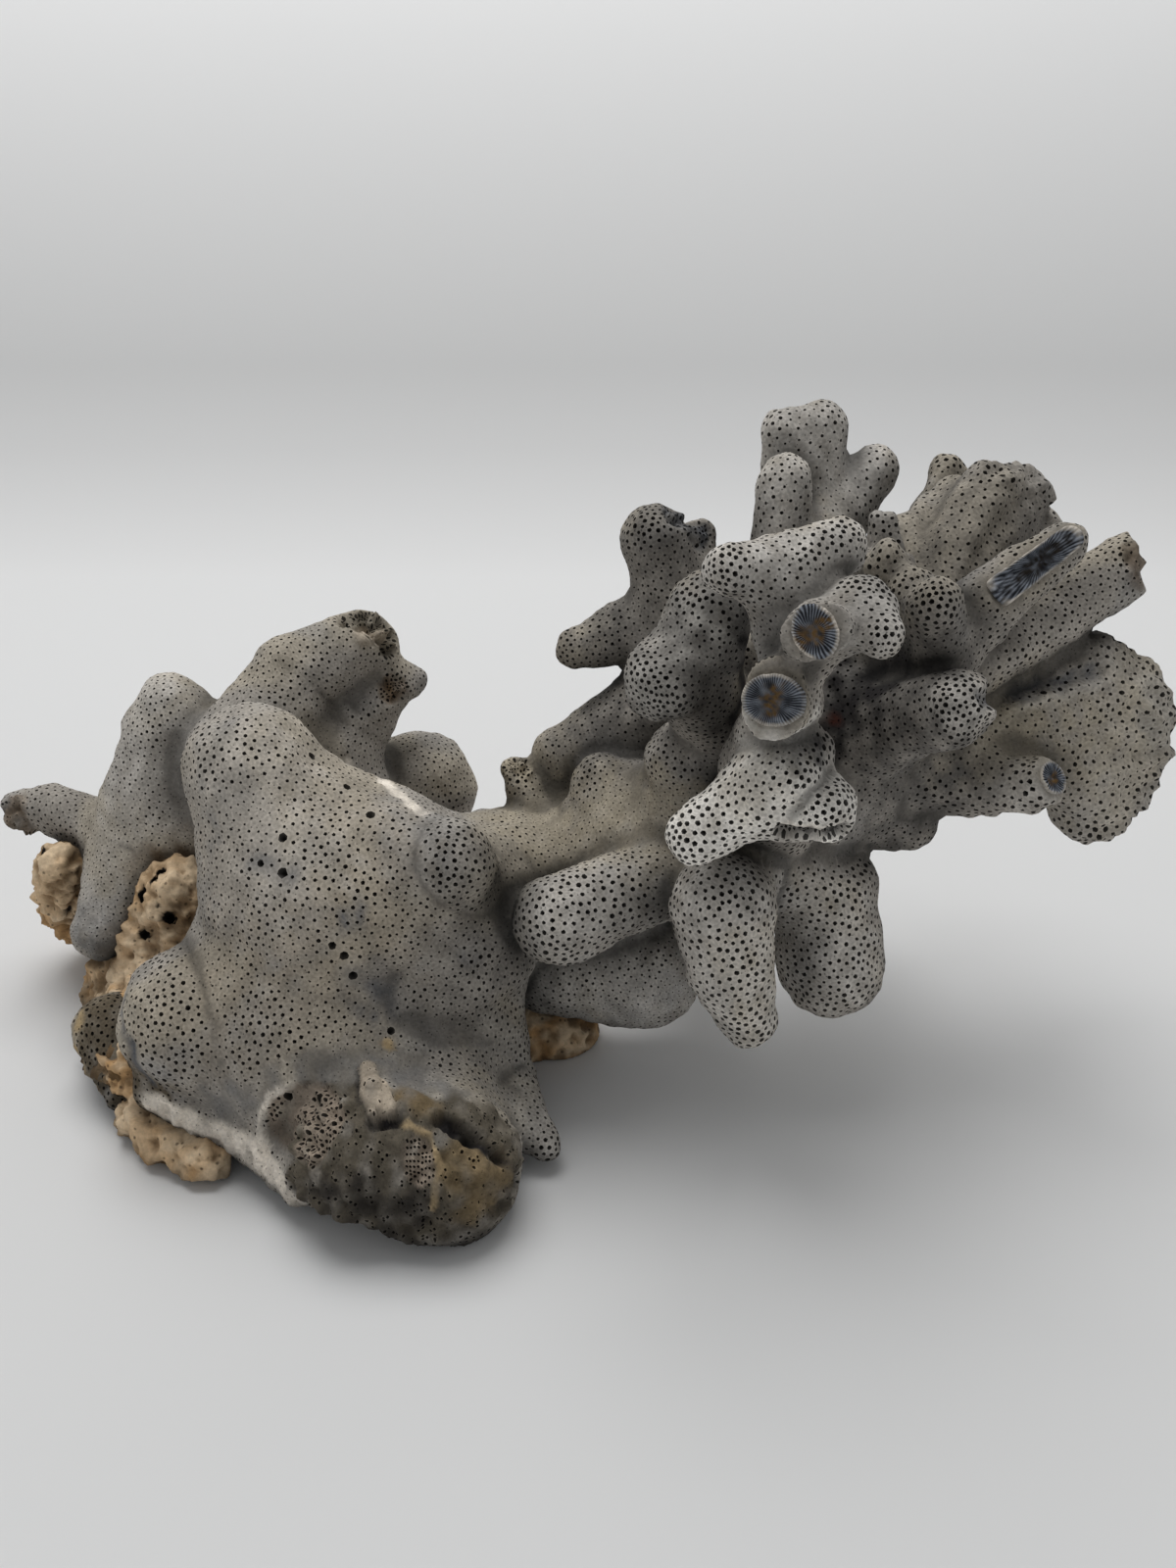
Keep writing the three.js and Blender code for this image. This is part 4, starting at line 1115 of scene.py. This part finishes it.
CORAL_SKIN = painted("coral skin", 1.0, 0.5, 0.08, specks=0.75)
# The walls of the pores are painted dark: painted shade inside the pores
PORE_WALL_SHADE = painted("pore wall shade", 0.13, 0.4, 0.05)
LIMESTONE = painted("dead limestone", 1.0, 0.9, 0.25, specks=1.6)
FIBRE = painted("broken coral", 1.0, 0.35, 0.06)


def build_coral():
    holes = [(skin.seen_at(pixel), radius) for pixel, radius in HOLES.values()]
    seeds, net = pore_net(skin, pore_spacing, holes)

    def radius_at(points, field, gap):
        size = pore_radius(points, field, gap)
        size[: len(holes)] = [wide for _, wide in holes]
        return size

    surface = Skin(skin, seeds, net, radius_at)
    for index, name in enumerate(BRANCHES):
        chosen = surface.owner == index
        used, faces = np.unique(surface.triangles[chosen], return_inverse=True)
        faces = faces.reshape(-1, 3)
        piece = add_mesh(
            name + "_skin", surface.points[used], faces, surface.colours[used],
            [CORAL_SKIN, PORE_WALL_SHADE], surface.in_pore[chosen], surface.ring_of[used],
        )
        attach(piece, "root")
        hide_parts(name)


# Broken faces: how far one stands above the cut, where its outline is felt for, and its rows of points
FACE_RISE = 0.38
FACE_DISH = 0.2
FIBRE_HEIGHT = 0.1
FACE_SKIRT = 0.7
FACE_RIM = 0.93
OUTLINE_DEPTH = 0.2
OUTLINE_STEP = 0.1
SPOKES = 256
RINGS = 12
FIBRE_DARK = linear(40, 42, 47)
FIBRE_LIGHT = linear(150, 156, 166)


def outline_of(end, headings):
    """Distance from the middle of a broken face to its edge, along each heading."""
    steps = np.arange(OUTLINE_STEP, end.reach, OUTLINE_STEP)
    probes = end.centre - OUTLINE_DEPTH * end.normal + headings[:, None] * steps[:, None]
    outside = skin.at(probes.reshape(-1, 3)).reshape(len(headings), len(steps)) > 0
    outline = np.where(outside.any(1), steps[outside.argmax(1)], steps[-1])
    for _ in range(3):
        outline = (np.roll(outline, 1) + 2 * outline + np.roll(outline, -1)) / 4
    return outline


def build_broken_end(name, end):
    """Fibres that run from a dark or ochre core out to a pale rim."""
    normal = end.normal
    across = unit(RIGHT - normal * (RIGHT @ normal))
    upward = np.cross(normal, across)
    angle = 2 * math.pi * np.arange(SPOKES) / SPOKES
    headings = np.cos(angle)[:, None] * across + np.sin(angle)[:, None] * upward
    outline = outline_of(end, headings)
    share = np.linspace(0, 1, RINGS + 1)[1:]
    flat = (headings[:, None] * (outline[:, None] * share)[..., None]).reshape(-1, 3)
    share = np.tile(share, SPOKES)
    place = end.centre + flat
    wobble = 1.1 * waves(place, 2.2, 60)
    ridge = np.cos(end.ridges * np.repeat(angle, RINGS) + wobble)
    fibre = share * ridge + 0.8 * waves(place, 1.1, 61)
    depth = np.where(share > FACE_RIM, 0, FACE_DISH * (1 - share ** 2) - FIBRE_HEIGHT * fibre)
    top = place + normal * (FACE_RISE - depth)[:, None]
    long, wide, turn = end.core
    axis = math.cos(math.radians(turn)) * across + math.sin(math.radians(turn)) * upward
    from_core = np.hypot(flat @ axis / long, flat @ np.cross(normal, axis) / wide)
    from_core += 0.3 * waves(place, 1.5, 62)
    lit = smooth_step(-0.6, 1.0, ridge) * (0.3 + 0.7 * share ** 2) + 0.14 * waves(place, 1.3, 64)
    colours = blend(np.tile(FIBRE_DARK, (len(top), 1)), FIBRE_LIGHT, np.clip(lit, 0, 1))
    speckle = np.clip(0.6 + 0.35 * waves(place, 0.7, 65), 0, 1)
    colours = blend(colours, end.core_colour, speckle * (1 - smooth_step(0.6, 1.6, from_core)))
    pale = smooth_step(0.85, 0.96, share) * np.clip(0.6 + 0.4 * waves(place, 4, 63), 0, 1)
    colours = blend(colours, CREAM, pale)
    skirt = end.centre + headings * (0.9 * outline)[:, None] - normal * FACE_SKIRT
    middle = end.centre + normal * (FACE_RISE - FACE_DISH)
    bottom = end.centre - normal * FACE_SKIRT
    points = np.concatenate([[middle], top, skirt, [bottom]])
    colours = np.concatenate([[end.core_colour], colours, np.tile(GREY, (SPOKES, 1)), [GREY]])
    grid = 1 + np.arange(SPOKES * RINGS).reshape(SPOKES, RINGS)
    grid = np.column_stack([grid, 1 + SPOKES * RINGS + np.arange(SPOKES)])
    following = np.roll(grid, -1, 0)
    faces = [np.column_stack([np.zeros(SPOKES, int), grid[:, 0], following[:, 0]])]
    for row in range(RINGS):
        faces.append(np.column_stack([grid[:, row], grid[:, row + 1], following[:, row]]))
        faces.append(np.column_stack([following[:, row], grid[:, row + 1], following[:, row + 1]]))
    faces.append(np.column_stack([np.full(SPOKES, len(points) - 1), following[:, -1], grid[:, -1]]))
    piece = add_mesh(name, points, np.concatenate(faces), colours, [FIBRE])
    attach(piece, "root")


# The limestone: how far it runs into the crust, its gap to the floor, its ledges and its borings
ROCK_OVERLAP = 0.4
ROCK_FLOOR = 0.3
LEDGE_STEP = 2.6
LEDGE_HEIGHT = 0.8
BORINGS = 40
BORED_BEHIND = 10
BORED_ABOVE = 2
BORING_STEPS = 3
BORING_RADII = (0.45, 0.9)
ROCK_FADE = 2.0
ROCK_GAP_LIGHT = 0.62
ROCK_OPEN_LIGHT = 0.5
CRACK_SHARE = 0.7
PALE_ROCK = linear(216, 192, 160)
TAN_ROCK = linear(188, 150, 106)
DARK_ROCK = linear(104, 80, 52)
BORING_SHADE = linear(22, 18, 15)

LIMESTONE_MARKS = {
    "olive side": Mark([(85, 1030), (90, 1100)], 4.0, 2.0, FLANK, 0.8),
    "dark edge": Mark([(120, 1156), (180, 1198), (236, 1206)], 1.0, 0.8, DIRT_AND_SHADE, 0.8),
    "fibrous band": Mark([(115, 1130), (160, 1165), (215, 1185)], 3.0, 2.0, PALE_ROCK, 0.6),
    "light patch": Mark([(160, 890), (180, 940), (110, 1000)], 6.0, 3.0, PALE_ROCK, 0.6),
    "brown edge": Mark([(215, 880), (222, 930)], 2.5, 1.5, DARK_ROCK, 0.7),
    "pale ledge": Mark([(58, 868), (52, 900), (66, 930)], 5.0, 3.0, PALE_ROCK, 0.7),
    "brown ledge": Mark([(80, 985), (118, 980)], 1.0, 0.8, DARK_ROCK, 0.8),
}

# Borings that the photograph shows, as pixels and radii
LIMESTONE_HOLES = {
    "upper": ((164, 889), 0.8),
    "upper left": ((157, 898), 0.7),
    "left": ((143, 914), 0.9),
    "middle": ((161, 923), 0.6),
    "low": ((170, 937), 0.85),
    "lowest left": ((145, 954), 0.7),
}


def build_limestone():
    values = np.maximum(limestone_values, -ROCK_OVERLAP - coral_values)
    values = np.maximum(values, ROCK_FLOOR - HEIGHT)
    rock = Field(values.copy())
    rock_marks = Marks(rock, LIMESTONE_MARKS)
    dice = np.random.default_rng(SEED + 30)
    everywhere = rock.mesh()[0]
    holes = [(rock.seen_at(pixel), radius) for pixel, radius in LIMESTONE_HOLES.values()]
    behind = (everywhere[:, 1] > BORED_BEHIND) & (everywhere[:, 2] > BORED_ABOVE)
    for place in dice.choice(everywhere[behind], BORINGS):
        holes.append((place, dice.uniform(*BORING_RADII)))
    borings = [(place, -rock.normal(place[None])[0], radius) for place, radius in holes]
    for place, inward, radius in borings:
        for step in range(BORING_STEPS):
            bore(values, place + inward * step * radius, radius)
    rock = Field(values)
    points, quads = rock.mesh()
    normals = rock.normal(points)
    ledge = np.abs((points[:, 2] / LEDGE_STEP + 0.5 * waves(points, 13, 19)) % 1 - 0.5) - 0.25
    rough = 0.3 * waves(points, 7, 20) + 0.34 * waves(points, 3, 21)
    rough += 0.15 * waves(points, 1.4, 22) + LEDGE_HEIGHT * ledge
    pale = smooth_step(-0.8, 1.2, waves(points, 9, 23) + 0.5 * waves(points, 3, 24))
    colours = blend(np.tile(TAN_ROCK, (len(points), 1)), PALE_ROCK, pale)
    for m, cover in rock_marks.covers(points, "colour"):
        colours = blend(colours, m.colour, np.clip(cover * m.strength, 0, 1))
    colours = blend(colours, DARK_ROCK, CRACK_SHARE * smooth_step(0.1, -0.5, rough))
    for place, inward, radius in borings:
        offset = points - place
        depth = offset @ inward
        aside = length(offset - depth[:, None] * inward)
        inside = (aside < 1.1 * radius) & (np.abs(depth) < BORING_STEPS * radius)
        # The insides of the borings are painted near black: painted shade
        colours[inside] = BORING_SHADE
    colours *= (ROCK_GAP_LIGHT + ROCK_OPEN_LIGHT * room.openness(points, normals))[:, None]
    lift = smooth_step(ROCK_FLOOR, ROCK_FADE, points[:, 2])
    points = points + normals * (rough * lift)[:, None]
    piece = add_mesh("limestone_rock", points, quads, colours, [LIMESTONE])
    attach(piece, "root")
    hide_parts("limestone_base")


# The pale sweep that the coral stands on, in metres
SWEEP_WIDTH = 3.0
SWEEP_FRONT = -1.6
SWEEP_BEND_START = 0.27
SWEEP_BEND = 0.12
SWEEP_LEAN = math.radians(58)
SWEEP_RUN = 2.2
SWEEP_STEPS = 24
PAPER_BLUE = 0.995
# Painted light on the paper: its brightness against its height in metres, darker at the bend and brightest
# up the wall
SWEEP_PAINTED_LIGHT = {0.0: 0.78, 0.03: 0.72, 0.06: 0.71, 0.2: 0.95}


def build_stage():
    profile = [(SWEEP_FRONT, 0.0)]
    for step in range(SWEEP_STEPS + 1):
        angle = SWEEP_LEAN * step / SWEEP_STEPS
        y = SWEEP_BEND_START + SWEEP_BEND * math.sin(angle)
        z = SWEEP_BEND * (1 - math.cos(angle))
        profile.append((y, z))
    profile.append((y + SWEEP_RUN * math.cos(SWEEP_LEAN), z + SWEEP_RUN * math.sin(SWEEP_LEAN)))
    points = [(side * SWEEP_WIDTH, y, z) for y, z in profile for side in (-1, 1)]
    quads = [(2 * i, 2 * i + 1, 2 * i + 3, 2 * i + 2) for i in range(len(profile) - 1)]
    mesh = bpy.data.meshes.new("sweep")
    mesh.from_pydata(points, [], quads)
    mesh.polygons.foreach_set("use_smooth", [True] * len(quads))
    material, tree, shader = new_material("pale paper", PAPER_GLOSS)
    height = add_node(tree, "SeparateXYZ", {"Vector": object_place(tree)}).outputs["Z"]
    span = max(SWEEP_PAINTED_LIGHT)
    tone = add_node(tree, "ValToRGB", {"Fac": map_range(tree, height, 0, span, 0, 1)})
    stops = tone.color_ramp.elements
    while len(stops) < len(SWEEP_PAINTED_LIGHT):
        stops.new(0.5)
    for stop, (level, value) in zip(stops, SWEEP_PAINTED_LIGHT.items()):
        stop.position = level / span
        stop.color = (value, value, PAPER_BLUE * value, 1)
    feed(tree, shader, {"Base Color": tone.outputs["Color"]})
    mesh.materials.append(material)
    sweep = new_object("sweep", mesh)


# The room's light and the broad light overhead, in metres and watts
ROOM = {"Color": (0.97, 0.985, 1.0, 1), "Strength": 0.34}
CEILING_PLACE = (-0.1, 0.28, 1.1)
CEILING_SIZE = 0.95
CEILING_POWER = 7.5


def build_light():
    scene = bpy.context.scene
    scene.view_settings.view_transform = "Standard"
    world = bpy.data.worlds.new("pale room")
    world.use_nodes = True
    feed(world.node_tree, world.node_tree.nodes["Background"], ROOM)
    scene.world = world
    lamp = bpy.data.lights.new("ceiling", "AREA")
    lamp.shape = "DISK"
    lamp.size = CEILING_SIZE
    lamp.energy = CEILING_POWER
    light = new_object("ceiling", lamp)
    light.location = CEILING_PLACE
    light.rotation_euler = Vector(CEILING_PLACE).to_track_quat("Z", "Y").to_euler()


def build_camera():
    lens = bpy.data.cameras.new("photo camera")
    lens.sensor_width = SENSOR
    lens.lens = SENSOR * FOCAL_PIXELS / PHOTO_HEIGHT
    lens.clip_start = NEAR_CLIP
    camera = new_object("photo camera", lens)
    camera.location = EYE * MM
    camera.rotation_euler = (math.pi / 2 - PITCH, 0, 0)
    bpy.context.scene.camera = camera


build_coral()
for end_name, broken in BROKEN_ENDS.items():
    build_broken_end(end_name, broken)
build_limestone()
build_stage()
build_light()
build_camera()
